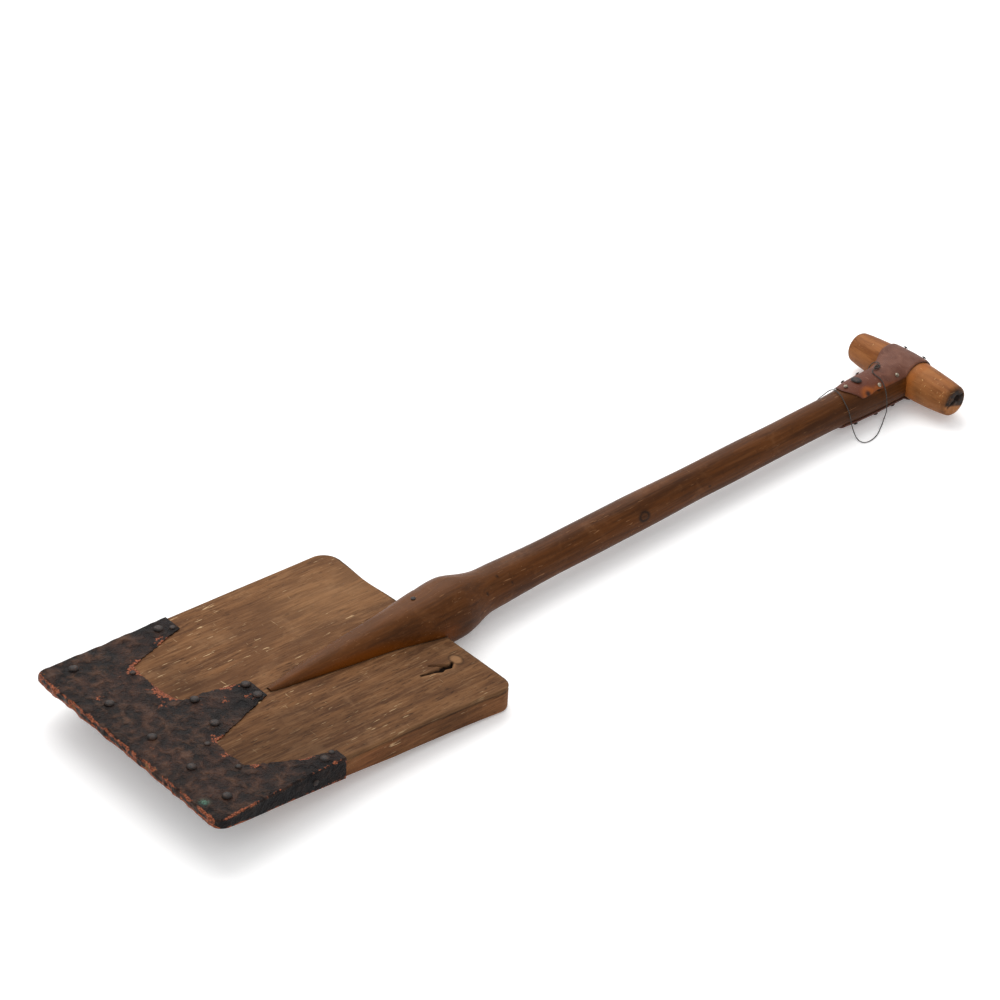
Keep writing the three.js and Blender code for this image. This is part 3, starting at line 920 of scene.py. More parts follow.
@dataclass
class Board:
    """The blade board, with its housing for the tongue, its crack and its worn arrises."""

    bench: Bench
    form: BladeForm
    arris: float = 1.8
    crack: Line = ((65, 284), (66.5, 291), (67, 297), (69, 304), (67, 309), (69.5, 316), (66, 321))
    crack_depth: float = 5.5
    fork: Line = ((57, 300), (61, 306), (64, 311), (67, 315))
    peg: tuple[float, float] = (64.5, 327.0)
    near_side: float = 100.0

    def stations(self) -> tuple[Points, Points]:
        """Where the grid has lines, close together at the crack and the corners.

        Returns:
            Shares across and shares along.
        """
        x = np.concatenate([
            np.linspace(-150, 52, 84)[:-1],
            np.linspace(52, 82, 44)[:-1],
            np.linspace(82, 128, 20),
        ])
        s = np.concatenate([
            np.linspace(0, 8, 6)[:-1],
            np.linspace(8, 276, 112)[:-1],
            np.linspace(276, 336, 62)[:-1],
            np.linspace(336, 345, 12),
        ])
        return (x + 150) / 278, s / 345

    def skin(self, grow: float, relief: Callable[[Points], Points] | None = None) -> tuple[Points, Faces]:
        """Closed skin of the board.

        Args:
            grow: Extra size all round.
            relief: Extra height out of the surface at points (x, s, n), for a beaten sheet.

        Returns:
            Points (x, s, n) and faces.
        """
        us, vs = self.stations()
        u, v = (a.ravel() for a in np.meshgrid(us, vs))
        rim = rim_indices(len(us), len(vs))
        turns = [math.radians(a) for a in (30, 60, 90)]

        def layer(u_at: Points, v_at: Points, inset: float, depth: float, low: float) -> Points:
            """Points of the skin at one level.

            Args:
                u_at: Shares across.
                v_at: Shares along.
                inset: Distance inside the outline.
                depth: Distance inside the upper or lower face.
                low: 0 at the upper face, 1 at the underside.

            Returns:
                The points (x, s, n).
            """
            x, s = self.form.plan(u_at, v_at, inset - grow)
            thick = self.form.thickness(x, s)
            n = (1 - low) * (grow - depth) + low * (-thick - grow + depth)
            return np.column_stack([x, s, n])

        rounds = [(self.arris * (1 - math.sin(a)), self.arris * (1 - math.cos(a))) for a in turns]
        layers = [layer(u, v, self.arris, 0, 0)]
        ru, rv = u[rim], v[rim]
        layers += [layer(ru, rv, inset, depth, 0) for inset, depth in rounds]
        layers += [layer(ru, rv, 0, self.arris, low) for low in (0.1, 0.17, 0.24, 0.4, 0.6, 0.8)]
        layers += [layer(ru, rv, inset, depth, 1) for inset, depth in reversed(rounds)]
        layers.append(layer(u, v, self.arris, 0, 1))
        points = np.vstack(layers)
        size = len(us) * len(vs)
        faces = grid_faces(len(us), len(vs))
        under = size + (len(layers) - 2) * len(rim)
        starts = range(size, under, len(rim))
        rings = [rim, *(list(range(a, a + len(rim))) for a in starts), [under + i for i in rim]]
        for upper, lower in zip(rings[:-1], rings[1:]):
            for j in range(len(rim)):
                k = (j + 1) % len(rim)
                faces.append((upper[j], lower[j], lower[k], upper[k]))
        faces += grid_faces(len(us), len(vs), under, flip=True)
        sway = [amount * Ripple(11 + i, 130)(points) for i, amount in enumerate((0.55, 0.5, 0.18))]
        moved = points + np.column_stack(sway)
        if relief:
            top = smoothstep(points[:, 2], -3, 0.2)
            moved[:, 2] += relief(points) * top
        return moved, faces

    def carve(self, local: Points) -> Points:
        """Opens the crack, scores the side and dents the face.

        Args:
            local: Points of the board in blade coordinates.

        Returns:
            The changed points.
        """
        x, s, n = local.T
        flat = local[:, :2]
        top = smoothstep(n, -1.2, -0.2)
        wide = np.interp(s, [284, 296, 306, 314, 322], [0.6, 1.2, 2.6, 2.3, 0.8])
        deep = np.exp(-((distance_to_line(flat, self.crack) / np.maximum(wide, 0.4)) ** 2))
        deep += 0.8 * np.exp(-((distance_to_line(flat, self.fork) / 0.9) ** 2))
        peg = np.exp(-((np.hypot(x - self.peg[0], s - self.peg[1]) / 4.2) ** 4))
        waves = Ripple(31, 24)(local * np.array([1, 0.25, 1]))
        grain = Ripple(32, 9)(local * np.array([1, 0.2, 1]))
        change = 0.16 * waves + 0.1 * grain - self.crack_depth * np.clip(deep, 0, 1) + 0.4 * peg
        out = local.copy()
        out[:, 2] += top * change
        score = bell(n, -3.6, 0.9) * smoothstep(s, 148, 165) * (x > self.near_side)
        out[:, 0] -= 0.9 * score
        return out

    def paint(self, piece: bpy.types.Object, shaft: ShaftForm) -> None:
        """Darkens the seam and the arrises, with painted shade in the crack and on the rear arris.

        Args:
            piece: The board.
            shaft: The shaft whose tongue lies in the board.
        """
        local = self.form.local(self.bench.coordinates(piece))
        x, s, n = local.T
        flat = np.column_stack([x, s])
        top = n > -3
        face = n > -2
        near = x > self.near_side
        drift = Ripple(41, 34)(local * np.array([1, 0.5, 1]))
        t = np.clip((s - shaft.tip) / (shaft.heel - shaft.tip), 0, 1)
        seam = np.abs(np.abs(x + 3 * (1 - t**3)) - shaft.tongue_width(s, t))
        from_crack = distance_to_line(flat, self.crack)
        dark = 0.75 * np.exp(-((seam / 1.3) ** 2)) * (s > shaft.tip - 2)
        # Painted shade inside the crack's hollow and along its line.
        dark += smoothstep(-n, 0.8, 2.2) * (from_crack < 4) * (n > -9)
        dark += 0.55 * np.exp(-((from_crack / 1.6) ** 2)) * (n > -9)
        dark += 0.5 * bell(n, -3.8, 0.8) * smoothstep(s, 148, 165) * near
        edge = np.minimum.reduce([x - self.form.far_x, self.form.near_x(s) - x, self.form.length - s])
        stain = bell(x, 62, 44) * bell(s, 118, 62) + 0.7 * bell(x, -60, 50) * bell(s, 96, 26)
        dark += 0.34 * stain * (0.8 + 0.5 * drift) + 0.2 * smoothstep(x, 0, 60) * top
        dark += 0.4 * smoothstep(-edge, -3.5, -0.5) * (0.6 + 0.5 * drift)
        # Painted shade on the rounded top arris of the rear edge, on its far half.
        dark += 0.55 * smoothstep(self.form.length - s, 5, 1) * (x < -30)
        dark += 0.16 * bell(n, -11, 1.6) * near * (drift > 0)
        dark += 0.12 * bell(n, -19, 1.8) * near * (drift < 0.2)
        from_peg = np.hypot((x - self.peg[0]) / 1.35, s - self.peg[1])
        peg = np.exp(-((from_peg / 5.0) ** 4))
        slit = np.exp(-((from_crack / 3.4) ** 2)) * smoothstep(s, 286, 300) * top
        from_lip = distance_to_line(flat + np.array([-3.2, 0]), self.crack)
        lip = np.exp(-((from_lip / 2.0) ** 2)) * face
        warm = 0.15 * peg + 0.35 * slit + 0.22 * bell(x, 100, 16) * bell(s, 170, 30)
        warm += 0.38 * near * smoothstep(-n, 2, 5) + 0.3 * lip
        pale = 0.5 * bell(x, -90, 40) * bell(s, 300, 70) + 0.3 * smoothstep(-edge, -6, -2) * face
        pale += 1.2 * peg + 0.45 * slit + 0.7 * lip
        dark = dark * (1 - 0.85 * peg) * (1 - 0.6 * lip) + 0.45 * bell(from_peg, 6.0, 0.9) * face
        self.bench.paint(piece, dark, warm, pale)

    def build(self, shaft: "Shaft", material: bpy.types.Material) -> bpy.types.Object:
        """Makes the board.

        Args:
            shaft: The shaft that its housing is cut for.
            material: Wood of the board.

        Returns:
            The finished board.
        """
        points, faces = self.skin(0.0)
        piece = self.bench.solid("board", self.form.world(self.carve(points)), faces)
        self.bench.join(piece, shaft.blank("housing", 0.15), Joinery.CUT)
        self.paint(piece, shaft.form)
        return self.bench.finish(piece, material, "blade_wood", ["blade_board"])


@dataclass
class Shaft:
    """The shaft with its tongue, its coped end and its tenon."""

    bench: Bench
    form: ShaftForm
    blade: BladeForm
    sides: int = 90
    tenon_radius: float = 11.0
    tenon_start: float = 975.0
    tenon_reach: float = 20.6
    knot: tuple[float, float] = (612.0, 70.0)
    marks: Sequence[tuple[float, float, float]] = (
        (948.5, 47, 3.4), (424, 30, 1.6), (437, 62, 1.3), (404, 58, 1.8), (702, 82, 1.4),
    )

    def blank(self, name: str, grow: float) -> bpy.types.Object:
        """Lofted blank, a little uneven.

        Args:
            name: Name of the solid.
            grow: Extra size all round.

        Returns:
            The solid.
        """
        angle = np.linspace(0, 2 * np.pi, self.sides, endpoint=False)
        tongue = np.linspace(0, 1, 64) ** 1.15 * (self.form.heel - self.form.tip) + self.form.tip
        shoulder = np.linspace(self.form.heel + 0.5, 440, 56)
        rest = np.linspace(442, self.form.grip_y, 330)
        stations = np.concatenate([tongue, shoulder, rest])
        rings = [self.form.section(float(y), angle, self.blade, grow) for y in stations]
        rings[0][:, 1] -= 0.6 if grow else 0.0
        points, faces = loft_solid(rings)
        y, low = points[:, 1], Ripple(51, 160)(points)
        calm = smoothstep(y, 350, 420) * (1 - smoothstep(y, 905, 925))
        fine = Ripple(52, 38)(points * np.array([1, 0.35, 1]))
        centre = np.column_stack([np.zeros_like(y), y, self.form.axis_z(y)])
        out = points - centre
        out[:, 1] = 0
        reach = np.maximum(np.linalg.norm(out, axis=1, keepdims=True), 1e-6)
        bulge = (0.35 * low + 0.14 * fine) * calm + 0.12 * fine * (1 - smoothstep(y, 350, 420))
        points = points + out / reach * bulge[:, None] * (reach[:, 0] > 2)[:, None]
        return self.bench.solid(name, points, faces)

    def bar(self, radius: float, start: float, end: float, slot: bool) -> bpy.types.Object:
        """Round bar on the grip's cross axis.

        Args:
            radius: Radius.
            start: First y.
            end: Last y.
            slot: Whether the end is slotted for the wedge.

        Returns:
            The solid.
        """
        angle = np.linspace(0, 2 * np.pi, 48, endpoint=False)
        circle = np.column_stack([radius * np.sin(angle), np.zeros(48), radius * np.cos(angle)])
        rings = [circle + np.array([0, y, self.form.grip_z]) for y in np.linspace(start, end, 9)]
        piece = self.bench.solid("bar", *loft_solid(rings))
        if slot:
            low, high = self.form.grip_y + 2.5, self.form.grip_y + 30
            corners = ((-14, 1.5), (14, 1.5), (14, -1.5), (-14, -1.5))
            box = np.array([(x, y, self.form.grip_z + z) for y in (low, high) for x, z in corners])
            self.bench.join(piece, self.bench.solid("slot", *loft_solid([box[:4], box[4:]])), Joinery.CUT)
        return piece

    def paint(self, piece: bpy.types.Object) -> None:
        """Stains the shaft, and paints reflected light at the ridge's near foot and a highlight along its
        top.

        Args:
            piece: The shaft.
        """
        p = self.bench.coordinates(piece)
        x, y, z = p.T
        angle = np.degrees(np.arctan2(x, z - self.form.axis_z(y)))
        above = z - (self.blade.front_height - math.tan(self.blade.tilt) * y)
        drift = Ripple(61, 60)(p * np.array([1, 0.5, 1]))
        # Painted reflected light: the board's warm glow on the near foot of the ridge, with some warmer tone
        # further along.
        foot = (1 - smoothstep(above, 3, 24)) * (x > -3) * (1 - smoothstep(y, 345, 385))
        warm = 0.85 * foot * (0.75 + 0.5 * drift) + 0.25 * smoothstep(y, 400, 460) * (0.5 + drift)
        warm += 0.1 * bell(y, 352, 14) * bell(angle, 70, 30)
        warm += 0.8 * bell(y, 949, 16) * bell(angle, 46, 11) + 0.35 * bell(y, 990, 14) * bell(angle, 70, 30)
        dark = 0.5 * (1 - smoothstep(above, 0, 1.6)) * (y < 345)
        dark += 0.22 * smoothstep(y, 860, 930) * (0.5 + 0.7 * drift)
        dark += 0.25 * bell(y, 372, 16) * bell(angle, 95, 40)
        ring = np.hypot((y - self.knot[0]) / 1.3, (angle - self.knot[1]) * 0.33)
        dark += 0.95 * bell(ring, 4.4, 1.5) + 0.6 * bell(ring, 0.4, 1.8)
        for at, turn, size in self.marks:
            dark += 0.9 * np.exp(-((np.hypot(y - at, (angle - turn) * 0.35) / size) ** 4))
        # Partly dust, partly painted highlight: the top of the ridge and shoulder is paled strongly, and the
        # top of the rest of the shaft a little.
        crest = bell(angle, -12, 46) * (0.75 + 0.35 * drift)
        pale = crest * (0.62 * (1 - smoothstep(y, 370, 500)) + 0.12)
        self.bench.paint(piece, dark, warm, pale)

    def build(self, grip: "Grip", material: bpy.types.Material) -> bpy.types.Object:
        """Makes the shaft.

        Args:
            grip: The grip that its end is coped to.
            material: Wood of the shaft.

        Returns:
            The finished shaft.
        """
        piece = self.blank("shaft_stick", 0.0)
        self.bench.join(piece, grip.barrel("cope", 0.3), Joinery.CUT)
        end = self.form.grip_y + self.tenon_reach
        tenon = self.bar(self.tenon_radius, self.tenon_start, end, slot=True)
        self.bench.join(piece, tenon, Joinery.ADD)
        self.paint(piece)
        return self.bench.finish(piece, material, "shaft_wood", ["shaft"], 32)


@dataclass
class Grip:
    """The barrel-shaped cross grip, turned by a geometry tree."""

    bench: Bench
    form: ShaftForm
    length: float = 143.0
    belly: float = 21.6
    end: float = 16.9
    rounding: float = 4.0
    check: Line = ((-11, -3), (-2, 1), (4, 4), (12, 5.5))

    def radius(self, x: Points) -> Points:
        """Radius of the barrel at x.

        Args:
            x: Distances from its middle.

        Returns:
            The radii, before the ends are rounded.
        """
        t = np.clip(np.abs(x) / (self.length / 2), 0, 1)
        return self.end + (self.belly - self.end) * (1 - t**1.7)

    def tree(self) -> bpy.types.NodeTree:
        """Geometry tree that turns a cylinder into a barrel about X.

        Returns:
            The tree.
        """
        tree = bpy.data.node_groups.new("turned barrel", "GeometryNodeTree")
        face = tree.interface
        face.new_socket("Geometry", in_out="OUTPUT", socket_type="NodeSocketGeometry")
        sizes = {
            "Length": self.length,
            "Belly Radius": self.belly,
            "End Radius": self.end,
            "Rounding": self.rounding,
        }
        for name, value in sizes.items():
            face.new_socket(name, in_out="INPUT", socket_type="NodeSocketFloat").default_value = value / 1000
        face.new_socket("Centre", in_out="INPUT", socket_type="NodeSocketVector")
        face.new_socket("Wood", in_out="INPUT", socket_type="NodeSocketMaterial")
        g = Graph(tree)
        given = g.add("NodeGroupInput").outputs

        calc = g.calc
        cuts = {"Vertices": 80, "Side Segments": 110, "Fill Segments": 18}
        blank = g.add(
            "GeometryNodeMeshCylinder",
            {**cuts, "Radius": 1.0, "Depth": given["Length"]},
            fill_type="TRIANGLE_FAN",
        )
        spot = g.add("ShaderNodeSeparateXYZ", {0: g.add("GeometryNodeInputPosition").outputs[0]}).outputs
        half = calc("MULTIPLY", given["Length"], 0.5)
        along = calc("ABSOLUTE", spot[2])
        law = calc("SUBTRACT", 1.0, calc("POWER", calc("DIVIDE", along, half), 1.7))
        swell = calc("SUBTRACT", given["Belly Radius"], given["End Radius"])
        belly = calc("ADD", given["End Radius"], calc("MULTIPLY", swell, law))
        inward = calc("DIVIDE", calc("SUBTRACT", half, along), given["Rounding"])
        left = calc("SUBTRACT", 1.0, inward, True)
        chord = calc("SQRT", calc("SUBTRACT", 1.0, calc("MULTIPLY", left, left), True))
        round_off = calc("SUBTRACT", 1.0, chord)
        radius = calc("SUBTRACT", belly, calc("MULTIPLY", round_off, given["Rounding"]))
        y = calc("MULTIPLY", spot[0], radius)
        z = calc("MULTIPLY", spot[1], radius)
        turned = g.add("ShaderNodeCombineXYZ", {0: spot[2], 1: y, 2: z}).outputs[0]
        placed = g.add("ShaderNodeVectorMath", {0: turned, 1: given["Centre"]}, operation="ADD").outputs[0]
        shaped = g.add("GeometryNodeSetPosition", {"Geometry": blank.outputs[0], "Position": placed})
        g.close(shaped.outputs[0], given["Wood"])
        return tree

    def barrel(self, name: str, grow: float, wood: bpy.types.Material | None = None) -> bpy.types.Object:
        """Runs the tree.

        Args:
            name: Name of the solid.
            grow: Extra size all round.
            wood: Material that the tree sets.

        Returns:
            The solid as plain mesh.
        """
        piece = self.bench.solid(name, np.zeros((1, 3)), [])
        tree = bpy.data.node_groups.get("turned barrel") or self.tree()
        centre = self.bench.datum.place(np.array([[0.0, self.form.grip_y, self.form.grip_z]]))[0]
        values = {
            "Length": (self.length + 2 * grow) / 1000,
            "Belly Radius": (self.belly + grow) / 1000,
            "End Radius": (self.end + grow) / 1000,
            "Rounding": self.rounding / 1000,
            "Centre": centre.tolist(),
            "Wood": wood,
        }
        run_tree(self.bench, piece, tree, values)
        return piece

    def wear(self, piece: bpy.types.Object) -> None:
        """Dents the barrel and checks its near end.

        Args:
            piece: The grip.
        """
        p = self.bench.coordinates(piece)
        x, y, z = p[:, 0], p[:, 1] - self.form.grip_y, p[:, 2] - self.form.grip_z
        reach = np.maximum(np.hypot(y, z), 1e-6)
        outer = smoothstep(reach, 12.5, 15)
        bulge = outer * (0.28 * Ripple(71, 46)(p) + 0.1 * Ripple(72, 15)(p))
        bulge -= 0.35 * outer * smoothstep(np.abs(x), 58, 71)
        p[:, 1] += y / reach * bulge
        p[:, 2] += z / reach * bulge
        end = smoothstep(x, 69.5, 71.4)
        hole = np.exp(-((np.hypot(y - 3.2, z - 3.6) / 3.4) ** 4))
        from_check = distance_to_line(np.column_stack([y, z]), self.check)
        split = np.exp(-((from_check / 1.1) ** 2))
        p[:, 0] -= end * (3.0 * hole + 1.1 * split + 0.35 * (1 + Ripple(73, 6)(p)))
        p[:, 0] += smoothstep(-x, 69.5, 71.4) * 0.35 * (1 + Ripple(74, 7)(p))
        self.bench.move(piece, p)
        upper = smoothstep(z + 0.35 * y, -6.5, -3.5)
        dark = end * (0.95 * hole + 0.75 * split + upper * (0.9 + 0.15 * Ripple(76, 5)(p)))
        dark += 0.25 * bell(np.abs(x), 68.5, 1.8) + 0.5 * smoothstep(-x, 70.5, 71.4)
        drift = Ripple(75, 26)(p)
        rubbed = 0.5 * bell(x, 24, 11) + 0.3 * bell(x, -33, 8) + 0.2 * drift
        dark += 0.22 * outer * smoothstep(Ripple(77, 30)(p), 0.1, 0.9)
        dark += 0.16 * bell(x, 50, 18) * smoothstep(y, 0, 14)
        pale = 0.3 * bell(x, 46, 22) * (0.5 + drift) + 0.4 * bell(x, 27, 5) * bell(z, 2, 8)
        pale += 0.4 * end * (1 - upper)
        self.bench.paint(piece, dark, rubbed, pale)

    def build(self, shaft: Shaft, material: bpy.types.Material) -> bpy.types.Object:
        """Makes the grip.

        Args:
            shaft: The shaft whose tenon passes through it.
            material: Wood of the grip.

        Returns:
            The finished grip.
        """
        piece = self.barrel("grip", 0.0, material)
        middle = self.form.grip_y
        bore = shaft.bar(shaft.tenon_radius + 0.3, middle - 40, middle + 40, slot=False)
        self.bench.join(piece, bore, Joinery.CUT)
        self.wear(piece)
        return self.bench.finish(piece, material, "grip_wood", ["grip_bar"])


def run_tree(
    bench: Bench, piece: bpy.types.Object, tree: bpy.types.NodeTree, values: dict[str, Any]
) -> None:
    """Runs a geometry tree on a piece and keeps the result as plain mesh.

    Args:
        bench: The bench that settles the piece.
        piece: The piece.
        tree: The tree.
        values: A value for each named input.
    """
    modifier = piece.modifiers.new("tree", "NODES")
    modifier.node_group = tree
    for item in tree.interface.items_tree:
        if item.in_out == "INPUT" and item.name in values:
            modifier[item.identifier] = values[item.name]
    bench.settle(piece)


@dataclass
class Shoe:
    """The copper shoe: a beaten sheet with three arms, side flanges and a turned-under strip."""

    bench: Bench
    board: Board
    sheet: float = 1.0
    gap: float = 0.25
    reach: float = 148.0
    strip: float = 60.0
    bays: Sequence[Line] = (
        (
            (-131, 170), (-131, 147), (-119, 108), (-108, 77), (-84, 74), (-56, 75), (-43, 78), (-37, 83),
            (-34, 91), (-35.5, 101), (-30, 127), (-24, 150), (-24, 170),
        ),
        (
            (2, 170), (2, 151), (17, 110), (30, 76), (31, 69), (50, 66), (75, 68), (86, 88), (99, 112),
            (108, 147), (108, 170),
        ),
    )
    chips: Sequence[tuple[float, float, float]] = (
        (-108, 79, 12), (-100, 72, 8), (-62, 73, 12), (-50, 78, 10), (-30, 128, 10), (-14, 112, 7),
        (-2, 134, 7), (28, 70, 8), (-84, 22, 6), (52, 62, 7), (82, 74, 6), (99, 118, 7), (-128, 120, 8),
        (-40, 62, 6),
    )

    def relief(self, local: Points) -> Points:
        """Height of the beaten surface.

        Args:
            local: Points (x, s, n).

        Returns:
            The heights.
        """
        flat = local * np.array([1, 1, 0])
        beaten = 0.42 * Ripple(81, 24)(flat) + 0.46 * Ripple(82, 11)(flat) + 0.16 * Ripple(88, 6)(flat)
        front = 1 - smoothstep(local[:, 1], 2, 16)
        return beaten - 0.35 * front + 0.5 * front * Ripple(83, 15)(flat)

    def torn(self, line: Line, seed: int) -> list[tuple[float, float]]:
        """A bay's outline with a ragged edge.

        Args:
            line: Corners of the clean edge.
            seed: Seed of the draw.

        Returns:
            Corners of the ragged edge.
        """
        draw = np.random.default_rng(seed)
        out: list[tuple[float, float]] = []
        for (ax, ay), (bx, by) in zip(line[:-1], line[1:]):
            steps = max(1, int(math.hypot(bx - ax, by - ay) / 2.6))
            for k in range(steps):
                t = k / steps
                amount = 0.0 if k == 0 else 0.5
                dx, dy = draw.normal(0, amount, 2)
                out.append((ax + (bx - ax) * t + dx, ay + (by - ay) * t + dy))
        return [*out, line[-1]]

    def prism(self, name: str, outline: Line, low: float, high: float) -> bpy.types.Object:
        """Upright prism in blade coordinates.

        Args:
            name: Name of the solid.
            outline: Corners (x, s).
            low: Lowest n.
            high: Highest n.

        Returns:
            The solid.
        """
        count = len(outline)
        area = sum(a[0] * b[1] - b[0] * a[1] for a, b in zip(outline, [*outline[1:], outline[0]]))
        corners = outline if area > 0 else outline[::-1]
        points = np.array([(x, s, n) for n in (low, high) for x, s in corners])
        faces: Faces = [tuple(range(count))[::-1], tuple(range(count, 2 * count))]
        faces += [(j, (j + 1) % count, (j + 1) % count + count, j + count) for j in range(count)]
        return self.bench.solid(name, self.board.form.world(points), faces)

    def underside(self) -> bpy.types.Object:
        """Everything below the board behind the turned-under strip.

        Returns:
            The solid.
        """
        form = self.board.form
        xs, ss = np.linspace(-180, 180, 41), np.linspace(self.strip, 175, 20)
        x, s = (a.ravel() for a in np.meshgrid(xs, ss))
        s = s + (s < self.strip + 1) * 1.2 * Ripple(85, 30)(np.column_stack([x, s, s * 0]))
        top = np.column_stack([x, s, -form.thickness(x, s) - 0.1])
        low = np.column_stack([x, s, np.full_like(x, -60)])
        rim = rim_indices(len(xs), len(ss))
        faces = grid_faces(len(xs), len(ss)) + grid_faces(len(xs), len(ss), len(x), flip=True)
        for j, a in enumerate(rim):
            b = rim[(j + 1) % len(rim)]
            faces.append((a, a + len(x), b + len(x), b))
        return self.bench.solid("under_cut", form.world(np.vstack([top, low])), faces)

    def crumple(self, points: Points) -> Points:
        """Waves the folded front edge.

        Args:
            points: Points (x, s, n).

        Returns:
            The changed points.
        """
        front = 1 - smoothstep(points[:, 1], 0, 9)
        across = points * np.array([1, 0, 0])
        out = points.copy()
        out[:, 1] += front * (0.9 * Ripple(84, 19)(across) + 0.7 * Ripple(89, 7)(points))
        out[:, 2] += front * 0.6 * Ripple(80, 9)(across)
        return out

    def paint(self, piece: bpy.types.Object) -> None:
        """Bares the worn edges and darkens the arms with painted shade.

        Args:
            piece: The shoe.
        """
        local = self.board.form.local(self.bench.coordinates(piece))
        x, s, n = local.T
        form = self.board.form
        thick = form.thickness(x, s)
        drift = Ripple(86, 18)(local)
        patch = Ripple(87, 42)(local)
        upper_arris = np.exp(-((np.hypot(s + 0.6, n - 0.4) / 2.6) ** 2))
        lower_arris = np.exp(-((np.hypot(s + 0.6, n + thick) / 3) ** 2))
        arris = upper_arris + lower_arris
        nose = (1 - smoothstep(s, -0.6, 0.4)) * (0.3 + 0.5 * Ripple(79, 13)(local))
        side = np.maximum(
            np.exp(-((np.hypot(x - form.near_x(s), n - 0.3) / 2.0) ** 2)),
            0.55 * np.exp(-((np.hypot(x - form.far_x, n - 0.3) / 1.6) ** 2)),
        )
        flange_rims = np.exp(-(((s - self.reach) / 2.0) ** 2)) + np.exp(-(((n + thick) / 1.6) ** 2))
        flange = (n < -1) * flange_rims
        flat = np.column_stack([x, s])
        rims = np.maximum.reduce([np.exp(-((distance_to_line(flat, bay) / 1.5) ** 2)) for bay in self.bays])
        spots = sum(np.exp(-((np.hypot(x - a, s - b) / r) ** 2)) for a, b, r in self.chips)
        warm = 0.62 * arris + nose + 0.6 * side + 0.7 * flange + rims * (0.2 + 0.75 * spots)
        warm = warm * (0.75 + 0.6 * drift) * (n < 6) + 0.5 * spots
        # Painted shade on the arms, for the sheen their slope reflects less of; the flanges, a strip behind
        # the front edge and random patches are darkened too.
        arms = smoothstep(s, 92, 118) * (n > -1)
        dark = 0.75 * arms + (n < -1) * (s > 3) + 0.3 * patch + 0.35 * bell(s, 4, 5) * (n > -1)
        pale = np.exp(-((np.hypot(x - 96.5, s - 7) / 3.2) ** 2)) * (n > -2)
        self.bench.paint(piece, dark, warm, pale)

    def build(self, material: bpy.types.Material) -> bpy.types.Object:
        """Makes the shoe.

        Args:
            material: The copper.

        Returns:
            The finished shoe.
        """
        form = self.board.form
        outer, faces = self.board.skin(self.gap + self.sheet, self.relief)
        inner, inner_faces = self.board.skin(self.gap)
        piece = self.bench.solid("copper_cover", form.world(self.crumple(outer)), faces)
        core = self.bench.solid("core", form.world(self.crumple(inner)), inner_faces)
        arm_end = self.reach + 1.5
        heel = [
            (-250, self.reach), (-131, self.reach), (-24, arm_end), (2, arm_end), (108, self.reach),
            (250, self.reach), (250, 420), (-250, 420),
        ]
        self.bench.join(piece, self.prism("heel_cut", heel, -80, 80), Joinery.CUT)
        self.bench.join(piece, core, Joinery.CUT)
        self.bench.join(piece, self.underside(), Joinery.CUT)
        for seed, bay in enumerate(self.bays):
            self.bench.join(piece, self.prism("bay", self.torn(bay, seed), -3, 30), Joinery.CUT)
        self.paint(piece)
        return self.bench.finish(piece, material, "copper_sheet", ["copper_shoe"], 45)


